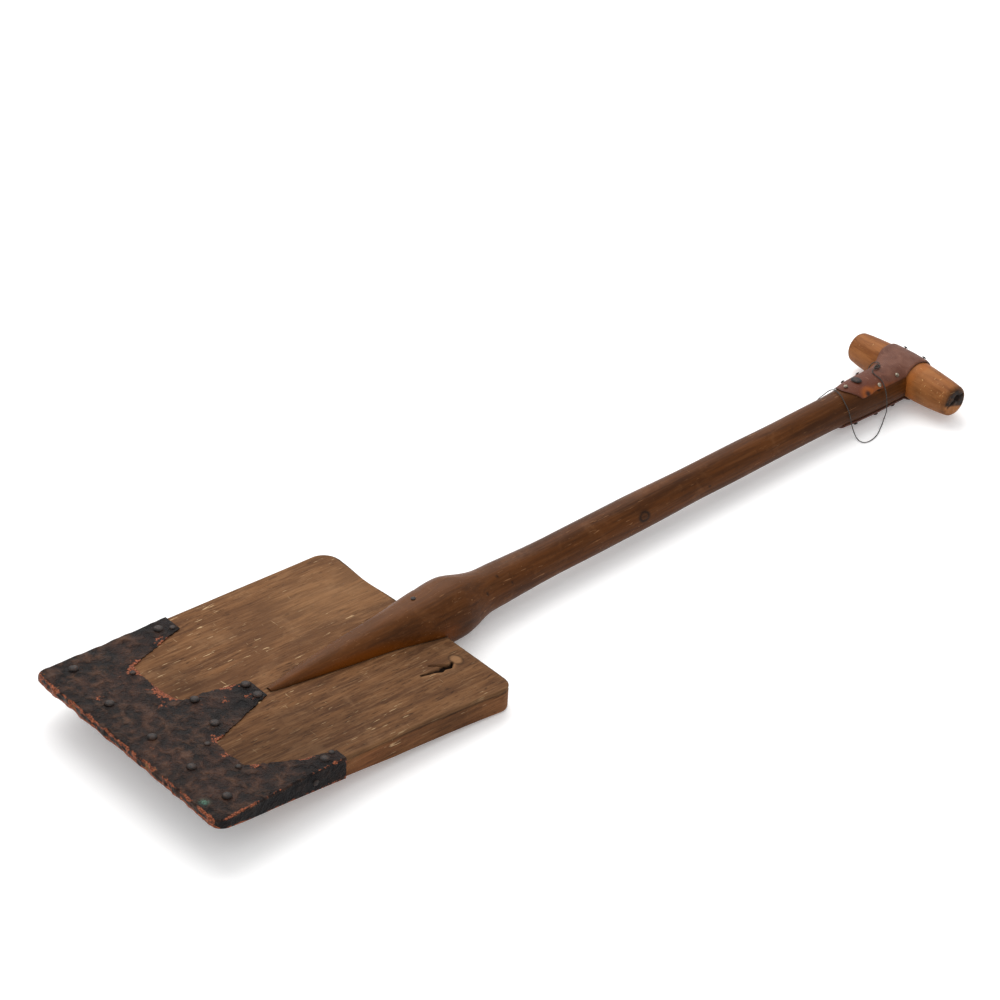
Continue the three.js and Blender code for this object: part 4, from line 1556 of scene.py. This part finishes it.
@dataclass
class Strap:
    """The leather strap over the grip, its legs nailed above and below the shaft."""

    bench: Bench
    shaft: ShaftForm
    grip: Grip
    thick: float = 2.0
    gap: float = 0.42
    wrap: float = math.radians(54)
    half: float = 23.0
    shift: float = -6.0
    front: float = 907.0
    slant: float = 5.0
    hollow: float = 12.0
    under_front: float = 901.0
    across: int = 30

    def leg(self, y: Points, w: Points, side: int) -> Points:
        """Inner face of a leg.

        Args:
            y: Stations.
            w: Share across, -1 at the far edge and 1 at the near edge.
            side: 1 above the shaft, -1 below.

        Returns:
            The points.
        """
        r = self.shaft.radius(y) + self.gap
        spread = smoothstep(y, 968, 1000)
        x = r * np.sin(w * self.wrap) * (1 - spread) + (self.shift + w * self.half) * spread
        flat = np.maximum(r * np.cos(w * self.wrap), np.sqrt(np.maximum(r**2 - x**2, 0)))
        flat = flat + side * (self.shaft.axis_z(y) - self.shaft.grip_z)
        g = self.grip.radius(x) + self.gap
        on_grip = np.sqrt(np.maximum(g**2 - (y - self.shaft.grip_y) ** 2, 0))
        h = np.maximum(3 - np.abs(flat - on_grip), 0) / 3
        height = np.maximum(flat, on_grip) + h * h * 0.75
        return np.column_stack([x, y, self.shaft.grip_z + side * height])

    def rows(self) -> list[Points]:
        """Rows of the inner face, from the upper leg's end over the grip to the lower leg's end.

        Returns:
            The rows, each from the far edge to the near edge.
        """
        grip_y, grip_z = self.shaft.grip_y, self.shaft.grip_z
        w = np.linspace(-1, 1, self.across + 1)
        uneven = 0.018 * np.sin(np.arange(len(w)) * 2.1)
        rows = []
        for t in np.linspace(0, 1, 52) ** 0.9:
            y0 = self.front + self.slant * w + self.hollow * np.hypot(w, 0.2) + uneven * 14
            y = y0 * (1 - t) + grip_y * t
            bite = np.where(w > 0, 0.08 * bell(y, 946, 7), 0.03 * bell(y, 960, 8))
            rows.append(self.leg(y, w * (1 - bite * np.abs(w) ** 3), 1))
        for a in np.linspace(0, math.pi, 32)[1:-1]:
            x = self.shift + w * (self.half + 0.5 * math.sin(5 * a))
            r = self.grip.radius(x) + self.gap
            rows.append(np.column_stack([x, grip_y + r * math.sin(a), grip_z + r * math.cos(a)]))
        for t in np.linspace(1, 0, 44):
            y = np.full_like(w, self.under_front + (grip_y - self.under_front) * t)
            rows.append(self.leg(y, w * (1 - 0.03 * math.sin(9 * t) ** 2), -1))
        return rows

    def build(self, material: bpy.types.Material) -> bpy.types.Object:
        """Makes the strap.

        Args:
            material: The leather.

        Returns:
            The finished strap.
        """
        inner = np.array(self.rows())
        along = np.gradient(inner, axis=0)
        sideways = np.gradient(inner, axis=1)
        normal = np.cross(sideways, along)
        normal /= np.maximum(np.linalg.norm(normal, axis=2, keepdims=True), 1e-9)
        w = np.abs(np.linspace(-1, 1, self.across + 1))[None, :, None]
        rise = 0.12 * Ripple(91, 14)(inner.reshape(-1, 3)).reshape(inner.shape[:2])[..., None]
        ends = np.minimum(np.arange(len(inner)) / 6, 1)[:, None, None]
        thin = (1 - 0.45 * np.clip((w - 0.9) / 0.1, 0, 1) ** 2) * (0.5 + 0.5 * ends)
        outer = inner + normal * (self.thick * thin - 0.15 + rise)
        rings = [np.vstack([b, a[::-1]]) for a, b in zip(inner, outer)]
        count = 2 * (self.across + 1)
        points = np.vstack(rings)
        faces: Faces = []
        for i in range(len(rings) - 1):
            for j in range(count):
                a, b = i * count + j, i * count + (j + 1) % count
                faces.append((a, b, b + count, a + count))
        last = (len(rings) - 1) * count
        for j in range(self.across):
            k = count - 1 - j
            faces.append((j, k, k - 1, j + 1))
            faces.append((last + j, last + j + 1, last + k - 1, last + k))
        piece = self.bench.solid("leather_strap", points, faces)
        p = self.bench.coordinates(piece)
        place = np.arange(len(p)) % count
        edge = np.abs(np.where(place <= self.across, place, count - 1 - place) / self.across * 2 - 1)
        row = np.arange(len(p)) // count
        drift = Ripple(92, 16)(p)
        dark = 0.5 * smoothstep(edge, 0.93, 1.0) + 0.4 * (row < 1) + 0.3 * bell(p[:, 1], 962, 5) * (drift > 0)
        angle = np.degrees(np.arctan2(p[:, 0], p[:, 2] - self.shaft.axis_z(p[:, 1])))
        hole = np.hypot((p[:, 1] - 932) / 2.6, (angle - 47) / 7.5)
        dark += 0.95 * np.exp(-(hole**4)) * (angle > 0) * (angle < 90)
        warm = 0.95 * np.exp(-(((hole - 1.9) / 1.1) ** 2)) * (angle > 22) * (angle < 90)
        warm += 0.8 * bell(p[:, 1], 946, 8) * bell(angle, 44, 8)
        warm += 0.5 * bell(p[:, 1], 962, 7) * bell(angle, 52, 7)
        warm += 0.35 * smoothstep(edge, 0.86, 0.99) * (p[:, 2] > 20) * (0.5 + 0.6 * drift)
        self.bench.paint(piece, dark, warm, 1 - smoothstep(p[:, 1], 930, 985))
        return self.bench.finish(piece, material, "strap_leather", ["grip_strap"], 50)


class NailKind(Enum):
    """Kinds of nail: head radius, dome height, shank radius and length in millimetres, and unevenness."""

    SHOE = (4.9, 2.1, 1.3, 8.5, 0.4)
    SMALL = (3.1, 1.2, 0.9, 8.5, 0.25)
    FLANGE = (3.1, 1.1, 0.9, 13.5, 0.2)
    TACK = (2.4, 1.4, 0.9, 11.5, 0.12)
    OVAL = (6.7, 2.0, 1.6, 15.0, 0.3)
    FLUSH = (2.6, 0.7, 1.5, 25.0, 0.2)


@dataclass
class Nails:
    """Nail heads on their shanks, set by a geometry tree on the frame's nail nodes."""

    bench: Bench

    def tree(self) -> bpy.types.NodeTree:
        """Geometry tree that puts a nail on each point, along the point's aim.

        Returns:
            The tree.
        """
        tree = bpy.data.node_groups.new("driven nails", "GeometryNodeTree")
        face = tree.interface
        face.new_socket("Geometry", in_out="OUTPUT", socket_type="NodeSocketGeometry")
        face.new_socket("Geometry", in_out="INPUT", socket_type="NodeSocketGeometry")
        for name in ("Head Radius", "Dome Height", "Shank Radius", "Shank Length", "Unevenness", "Stretch"):
            face.new_socket(name, in_out="INPUT", socket_type="NodeSocketFloat")
        face.new_socket("Iron", in_out="INPUT", socket_type="NodeSocketMaterial")
        g = Graph(tree)
        given = g.add("NodeGroupInput").outputs

        calc = g.calc

        def pick(test: bpy.types.NodeSocket, no: Any, yes: Any) -> bpy.types.NodeSocket:
            """One of two numbers."""
            return g.add("GeometryNodeSwitch", {0: test, 1: no, 2: yes}, input_type="FLOAT").outputs[0]

        def below(a: Any, b: Any) -> bpy.types.NodeSocket:
            """Whether a is less than b."""
            return g.add("FunctionNodeCompare", {0: a, 1: b}, operation="LESS_THAN").outputs[0]

        ball = g.add("GeometryNodeMeshUVSphere", {"Segments": 20, "Rings": 16, "Radius": 1.0})
        spot = g.add("ShaderNodeSeparateXYZ", {0: g.add("GeometryNodeInputPosition").outputs[0]}).outputs
        squares = [calc("MULTIPLY", spot[i], spot[i]) for i in (0, 1)]
        reach = calc("SQRT", calc("ADD", *squares))
        safe = calc("MAXIMUM", reach, 0.0001)
        lower = below(spot[2], -0.02)
        shank = below(reach, 0.45)
        tip = below(reach, 0.25)
        on_shank = calc("MULTIPLY", lower, shank)
        dome = calc("MULTIPLY", spot[2], given["Dome Height"])
        drop = pick(tip, 0.0, calc("MULTIPLY", given["Shank Length"], -1.0))
        height = pick(lower, dome, pick(shank, 0.0, drop))
        narrow = calc("DIVIDE", given["Shank Radius"], safe)
        pointed = pick(below(reach, 0.05), narrow, 0.0)
        wide = pick(on_shank, given["Head Radius"], pointed)
        long = pick(on_shank, calc("MULTIPLY", wide, given["Stretch"]), wide)
        x = calc("MULTIPLY", spot[0], wide)
        y = calc("MULTIPLY", spot[1], long)
        shape = g.add("ShaderNodeCombineXYZ", {0: x, 1: y, 2: height})
        nail = g.add("GeometryNodeSetPosition", {"Geometry": ball.outputs[0], "Position": shape.outputs[0]})
        aim = g.add("GeometryNodeInputNamedAttribute", {"Name": "aim"}, data_type="FLOAT_VECTOR")
        turn = g.add("FunctionNodeAlignRotationToVector", {"Vector": aim.outputs[0]}, axis="Z")
        spread = g.add(
            "GeometryNodeInstanceOnPoints",
            {"Points": given["Geometry"], "Instance": nail.outputs[0], "Rotation": turn.outputs[0]},
        )
        solid = g.add("GeometryNodeRealizeInstances", {0: spread.outputs[0]})
        place = g.add("GeometryNodeInputPosition").outputs[0]
        wobble = g.add("ShaderNodeTexNoise", {"Vector": place, "Scale": 190.0, "Detail": 2.0}).outputs[1]
        centred = g.add("ShaderNodeVectorMath", {0: wobble, 1: (0.5, 0.5, 0.5)}, operation="SUBTRACT")
        shift = g.add(
            "ShaderNodeVectorMath",
            {0: centred.outputs[0], "Scale": given["Unevenness"]},
            operation="SCALE",
        )
        beaten = g.add("GeometryNodeSetPosition", {"Geometry": solid.outputs[0], "Offset": shift.outputs[0]})
        g.close(beaten.outputs[0], given["Iron"])
        return tree

    def seat(self, node: str) -> tuple[Vector, Vector]:
        """Where a nail's head sits and which way it faces, from its node in the frame.

        Args:
            node: The frame's nail node.

        Returns:
            Point under the head, and the direction out of the face.
        """
        mesh = bpy.data.objects[node].data
        points = np.array([v.co for v in mesh.vertices], float)
        centre = points.mean(axis=0)
        axis = np.linalg.svd(points - centre)[2][0]
        along = (points - centre) @ axis
        reach = np.linalg.norm(points - centre - np.outer(along, axis), axis=1)
        head = along[reach > 0.8 * reach.max()].mean()
        if head < 0:
            axis, along, head = -axis, -along, -head
        return Vector(centre + axis * (head - 0.0001)), Vector(axis)

    def build(
        self,
        name: str,
        nodes: Sequence[str],
        kind: NailKind,
        iron: bpy.types.Material,
        slot: str,
        stretch: float = 1.0,
    ) -> bpy.types.Object:
        """Makes one group of nails.

        Args:
            name: Name of the piece.
            nodes: The frame's nail nodes that it stands for.
            kind: Kind of nail.
            iron: Metal of the nails.
            slot: The record's material slot.
            stretch: Length of an oval head over its width.

        Returns:
            The finished nails.
        """
        seats = [self.seat(node) for node in nodes]
        piece = self.bench.solid(name, self.bench.datum.lift(np.array([p for p, _ in seats])), [])
        aims = piece.data.attributes.new("aim", "FLOAT_VECTOR", "POINT")
        aims.data.foreach_set("vector", np.array([a for _, a in seats], float).ravel())
        tree = bpy.data.node_groups.get("driven nails") or self.tree()
        head, dome, shank, length, uneven = (value / 1000 for value in kind.value)
        values = {
            "Head Radius": head,
            "Dome Height": dome,
            "Shank Radius": shank,
            "Shank Length": length,
            "Unevenness": uneven * 1.6,
            "Stretch": stretch,
            "Iron": iron,
        }
        run_tree(self.bench, piece, tree, values)
        return self.bench.finish(piece, iron, slot, nodes, 60)


@dataclass
class TieString:
    """The thin string knotted over the strap, lying in a loose loop on each side."""

    bench: Bench
    diameter: float = 1.0
    route: Sequence[tuple[float, float, float]] = (
        (-3.5, 959, 48.8), (-2, 956.2, 48.7), (0.6, 954.4, 48.8), (4.9, 953.8, 48.2), (8.6, 954.6, 47),
        (12.6, 955, 45.1), (16.6, 954.4, 42.2), (20.9, 953.6, 36.7), (23.4, 953, 30.2), (24.3, 953, 24),
        (23.9, 953.8, 17.5), (21.8, 956.3, 10), (20.8, 955.8, 4.2), (22.4, 952, 1.3), (25.8, 947, 0.8),
        (30.8, 938.5, 0.8), (35.4, 930.5, 0.8), (39.2, 920, 0.8), (39.6, 910, 0.8), (35.8, 905.6, 0.8),
        (29.4, 905.8, 1.1), (23.6, 907.4, 3.4), (20.9, 906.9, 9), (20.4, 904.6, 16.5), (20.6, 902.2, 25),
        (18.4, 901, 33.2), (12.4, 900.6, 40.9), (5.2, 902.2, 44.7), (-3.6, 904.5, 45.2), (-10.8, 906.4, 42.6),
        (-15.3, 905, 39.2), (-16.9, 900, 36.2), (-18, 893, 33), (-19.6, 888, 26), (-20.4, 886, 17),
        (-22.4, 887, 8.5), (-27, 892, 2.4), (-33, 901, 0.8), (-37.6, 915, 0.8), (-38.6, 931, 0.8),
        (-36, 947, 0.8), (-31.6, 959, 1.2), (-28.4, 967, 4.6), (-27.4, 971, 13), (-26.6, 974, 23),
        (-25.2, 976, 33), (-20.8, 977, 40.8), (-14.2, 975.8, 45.7), (-8.4, 973.2, 48),
    )
    knot: tuple[float, float, float] = (-4.2, 965.5, 49.2)
    knot_turn: float = 1.69
    knot_lean: float = 0.16

    def smooth(self, steps: int = 8) -> Points:
        """The route as a fine Catmull-Rom line.

        Args:
            steps: Steps from one point of the route to the next.

        Returns:
            Points of the line.
        """
        p = np.array(self.route)
        p = np.vstack([2 * p[0] - p[1], p, 2 * p[-1] - p[-2]])
        out = []
        for i in range(1, len(p) - 2):
            for t in np.arange(steps) / steps:
                a, b, c, d = p[i - 1 : i + 3]
                square = (2 * a - 5 * b + 4 * c - d) * t**2
                cube = (3 * b - a - 3 * c + d) * t**3
                out.append(0.5 * (2 * b + (c - a) * t + square + cube))
        return np.vstack([out, p[-2]])

    def tie(self, fibre: bpy.types.Material) -> bpy.types.Object:
        """The knot: three tight turns and two short ends.

        Args:
            fibre: Fibre of the string.

        Returns:
            The finished knot.
        """
        t = np.linspace(0, 1, 190)
        lean = np.column_stack([
            4.9 * np.cos(2 * np.pi * 2.5 * t) * (0.6 + 0.4 * t),
            1.5 * np.sin(2 * np.pi * 2.5 * t) + 0.4 * np.sin(2 * np.pi * 6 * t),
            0.75 * np.sin(2 * np.pi * 3.5 * t + 0.6),
        ])
        c, d = math.cos(self.knot_turn), math.sin(self.knot_turn)
        turn = np.array([[c, -d, 0], [d, c, 0], [self.knot_lean * c, 0, 1]])
        line = lean @ turn.T + np.array(self.knot)
        radius = self.diameter * 0.52
        along = np.gradient(line, axis=0)
        along /= np.linalg.norm(along, axis=1, keepdims=True)
        up = np.cross(along, np.array([0.2, 0.3, 0.93]))
        up /= np.linalg.norm(up, axis=1, keepdims=True)
        beside = np.cross(along, up)
        angle = np.linspace(0, 2 * np.pi, 10, endpoint=False)
        cosines, sines = np.cos(angle)[:, None], np.sin(angle)[:, None]
        rings = [at + radius * (cosines * u + sines * b) for at, u, b in zip(line, up, beside)]
        points, faces = loft_solid(rings)
        piece = self.bench.solid("tied_knot", points, [face[::-1] for face in faces])
        return self.bench.finish(piece, fibre, "string_fibre", ["string_knot"], 80)

    def build(self, fibre: bpy.types.Material) -> bpy.types.Object:
        """Makes the string and its knot.

        Args:
            fibre: Fibre of the string.

        Returns:
            The string.
        """
        knot = self.tie(fibre)
        line = self.smooth()
        length = float(np.linalg.norm(np.diff(line, axis=0), axis=1).sum()) / 1000
        curve = bpy.data.curves.new("loose_string", "CURVE")
        curve.dimensions = "3D"
        curve.bevel_depth = self.diameter / 2000
        curve.bevel_resolution = 3
        curve.use_fill_caps = True
        spline = curve.splines.new("POLY")
        placed = self.bench.datum.place(line)
        spline.points.add(len(placed) - 1)
        for point, at in zip(spline.points, placed):
            point.co = (*at, 1.0)
        piece = bpy.data.objects.new("loose_string", curve)
        bpy.context.scene.collection.objects.link(piece)
        curve.materials.append(fibre)
        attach(piece, "root")
        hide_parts("string")
        LOG.info("%s: %.0f mm", piece.name, length * 1000)
        return piece


# ---- Studio ----


@dataclass
class Studio:
    """Pale floor, soft lights and camera."""

    datum: Datum
    eye: tuple[float, float, float] = (2033.6, -1321.1, 2046.8)
    target: tuple[float, float, float] = (-117.5, 538.6, 15.0)
    lens: float = 124.2
    half_floor: float = 9.0
    air: float = 0.8

    def floor(self) -> None:
        """Makes the floor."""
        mesh = bpy.data.meshes.new("floor")
        half = self.half_floor
        corners = [(-half, -half, 0), (half, -half, 0), (half, half, 0), (-half, half, 0)]
        mesh.from_pydata(corners, [], [(0, 1, 2, 3)])
        plane = bpy.data.objects.new("floor", mesh)
        bpy.context.scene.collection.objects.link(plane)
        s = Shader("studio paper")
        tone = s.mix(s.noise(s.place, 1.4, 2), (0.9, 0.9, 0.905, 1), (0.93, 0.93, 0.93, 1))
        paper = s.dress(
            base_color=tone, roughness=0.9, specular_ior_level=0.2, emission_color=tone, emission_strength=0.2
        )
        mesh.materials.append(paper)

    def light(self, name: str, at: tuple[float, float, float], size: float, power: float) -> None:
        """Adds one soft light that looks at the shovel.

        Args:
            name: Name of the light.
            at: Position in metres.
            size: Side of the square light in metres.
            power: Power in watts.
        """
        data = bpy.data.lights.new(name, "AREA")
        data.size = size
        data.energy = power
        data.color = (1.0, 0.985, 0.97)
        lamp = bpy.data.objects.new(name, data)
        lamp.location = at
        lamp.rotation_euler = (-Vector(at)).to_track_quat("-Z", "Y").to_euler()
        bpy.context.scene.collection.objects.link(lamp)

    def camera(self) -> None:
        """Makes the camera."""
        eye, target = (Vector(p) for p in self.datum.place(np.array([self.eye, self.target])).tolist())
        data = bpy.data.cameras.new("camera")
        data.lens = self.lens
        data.sensor_width = 36
        data.clip_end = 50
        view = bpy.data.objects.new("camera", data)
        view.location = eye
        view.rotation_euler = (target - eye).to_track_quat("-Z", "Y").to_euler()
        bpy.context.scene.collection.objects.link(view)
        bpy.context.scene.camera = view

    def build(self) -> None:
        """Sets up the studio."""
        scene = bpy.context.scene
        scene.view_settings.view_transform = "Standard"
        world = bpy.data.worlds.new("studio air")
        scene.world = world
        world.use_nodes = True
        back = world.node_tree.nodes["Background"]
        back.inputs[0].default_value = (1.0, 1.0, 1.0, 1.0)
        back.inputs[1].default_value = self.air
        self.floor()
        self.light("key", (-1.5, 0.7, 2.2), 2.6, 62)
        self.light("fill", (1.2, -2.2, 2.4), 2.4, 5)
        self.camera()


def main() -> None:
    """Builds the shovel piece by piece."""
    logging.basicConfig(level=logging.INFO, stream=sys.stdout, format="%(name)s %(message)s")
    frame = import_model()
    datum = Datum.from_frame()
    bench = Bench(datum)
    blade_form = BladeForm()
    shaft_form = ShaftForm()
    board_wood = WornWood(
        name="board wood",
        body=rgb(120, 83, 53),
        deep=rgb(86, 57, 37),
        light=rgb(144, 107, 74),
        bare=rgb(136, 74, 36),
        scuff=rgb(188, 156, 118),
        roughness=0.72,
        scratches=1.0,
        grain=1.15,
        shine=0.08,
    ).material()
    shaft_wood = WornWood(
        name="shaft wood",
        body=rgb(84, 46, 16),
        deep=rgb(56, 29, 9),
        light=rgb(114, 74, 44),
        bare=rgb(106, 54, 8),
        scuff=rgb(158, 112, 74),
        roughness=0.42,
        scratches=0.45,
        grain=0.5,
        shine=0.08,
    ).material()
    grip_wood = WornWood(
        name="grip wood",
        body=rgb(146, 92, 50),
        deep=rgb(112, 64, 30),
        light=rgb(168, 114, 68),
        bare=rgb(164, 88, 24),
        scuff=rgb(212, 162, 106),
        roughness=0.5,
        scratches=1.6,
        grain=0.5,
        across=True,
        shine=0.1,
    ).material()
    copper = OldCopper().material()
    leather = StrapLeather().material()
    dark_iron = ForgedIron("dark iron", rgb(24, 18, 16), rgb(58, 38, 28), 0.0, 0.42).material()
    grey_iron = ForgedIron("rubbed iron", rgb(150, 140, 124), rgb(84, 70, 58), 0.8, 0.42).material()
    fibre = TwistedFibre().material()

    board = Board(bench, blade_form)
    shaft = Shaft(bench, shaft_form, blade_form)
    grip = Grip(bench, shaft_form)
    board.build(shaft, board_wood)
    shaft.build(grip, shaft_wood)
    grip.build(shaft, grip_wood)
    Shoe(bench, board).build(copper)
    Strap(bench, shaft_form, grip).build(leather)

    wedge = frame["nodes"]["tenon_wedge"]
    wedge.data.materials.clear()
    wedge.data.materials.append(board_wood)

    nails = Nails(bench)
    names = sorted(frame["nodes"])

    def those(*starts: str) -> list[str]:
        """Nail nodes whose names begin in one of these ways."""
        return [name for name in names if name.startswith(starts)]

    shoe_heads = those("shoe_nail_front", "shoe_nail_far", "shoe_nail_near", "shoe_nail_centre")
    nails.build("shoe_nails", shoe_heads, NailKind.SHOE, dark_iron, "nail_iron")
    nails.build("shoe_tacks", those("shoe_nail_tack"), NailKind.SMALL, dark_iron, "nail_iron")
    nails.build("flange_nails", those("shoe_nail_flange"), NailKind.FLANGE, dark_iron, "nail_iron")
    nails.build("tongue_nails", those("tongue_nail"), NailKind.FLUSH, dark_iron, "nail_iron")
    bright = ["strap_tack_top_front", "strap_tack_top_middle", "strap_tack_top_rear"]
    dull = [name for name in those("strap_tack") if name not in bright]
    nails.build("bright_tacks", bright, NailKind.TACK, grey_iron, "tack_iron")
    nails.build("dull_tacks", dull, NailKind.TACK, dark_iron, "tack_iron")
    nails.build("oval_nail", ["strap_nail_large"], NailKind.OVAL, dark_iron, "tack_iron", 0.72)
    TieString(bench).build(fibre)

    Studio(datum).build()


if __name__ == "__main__":
    main()
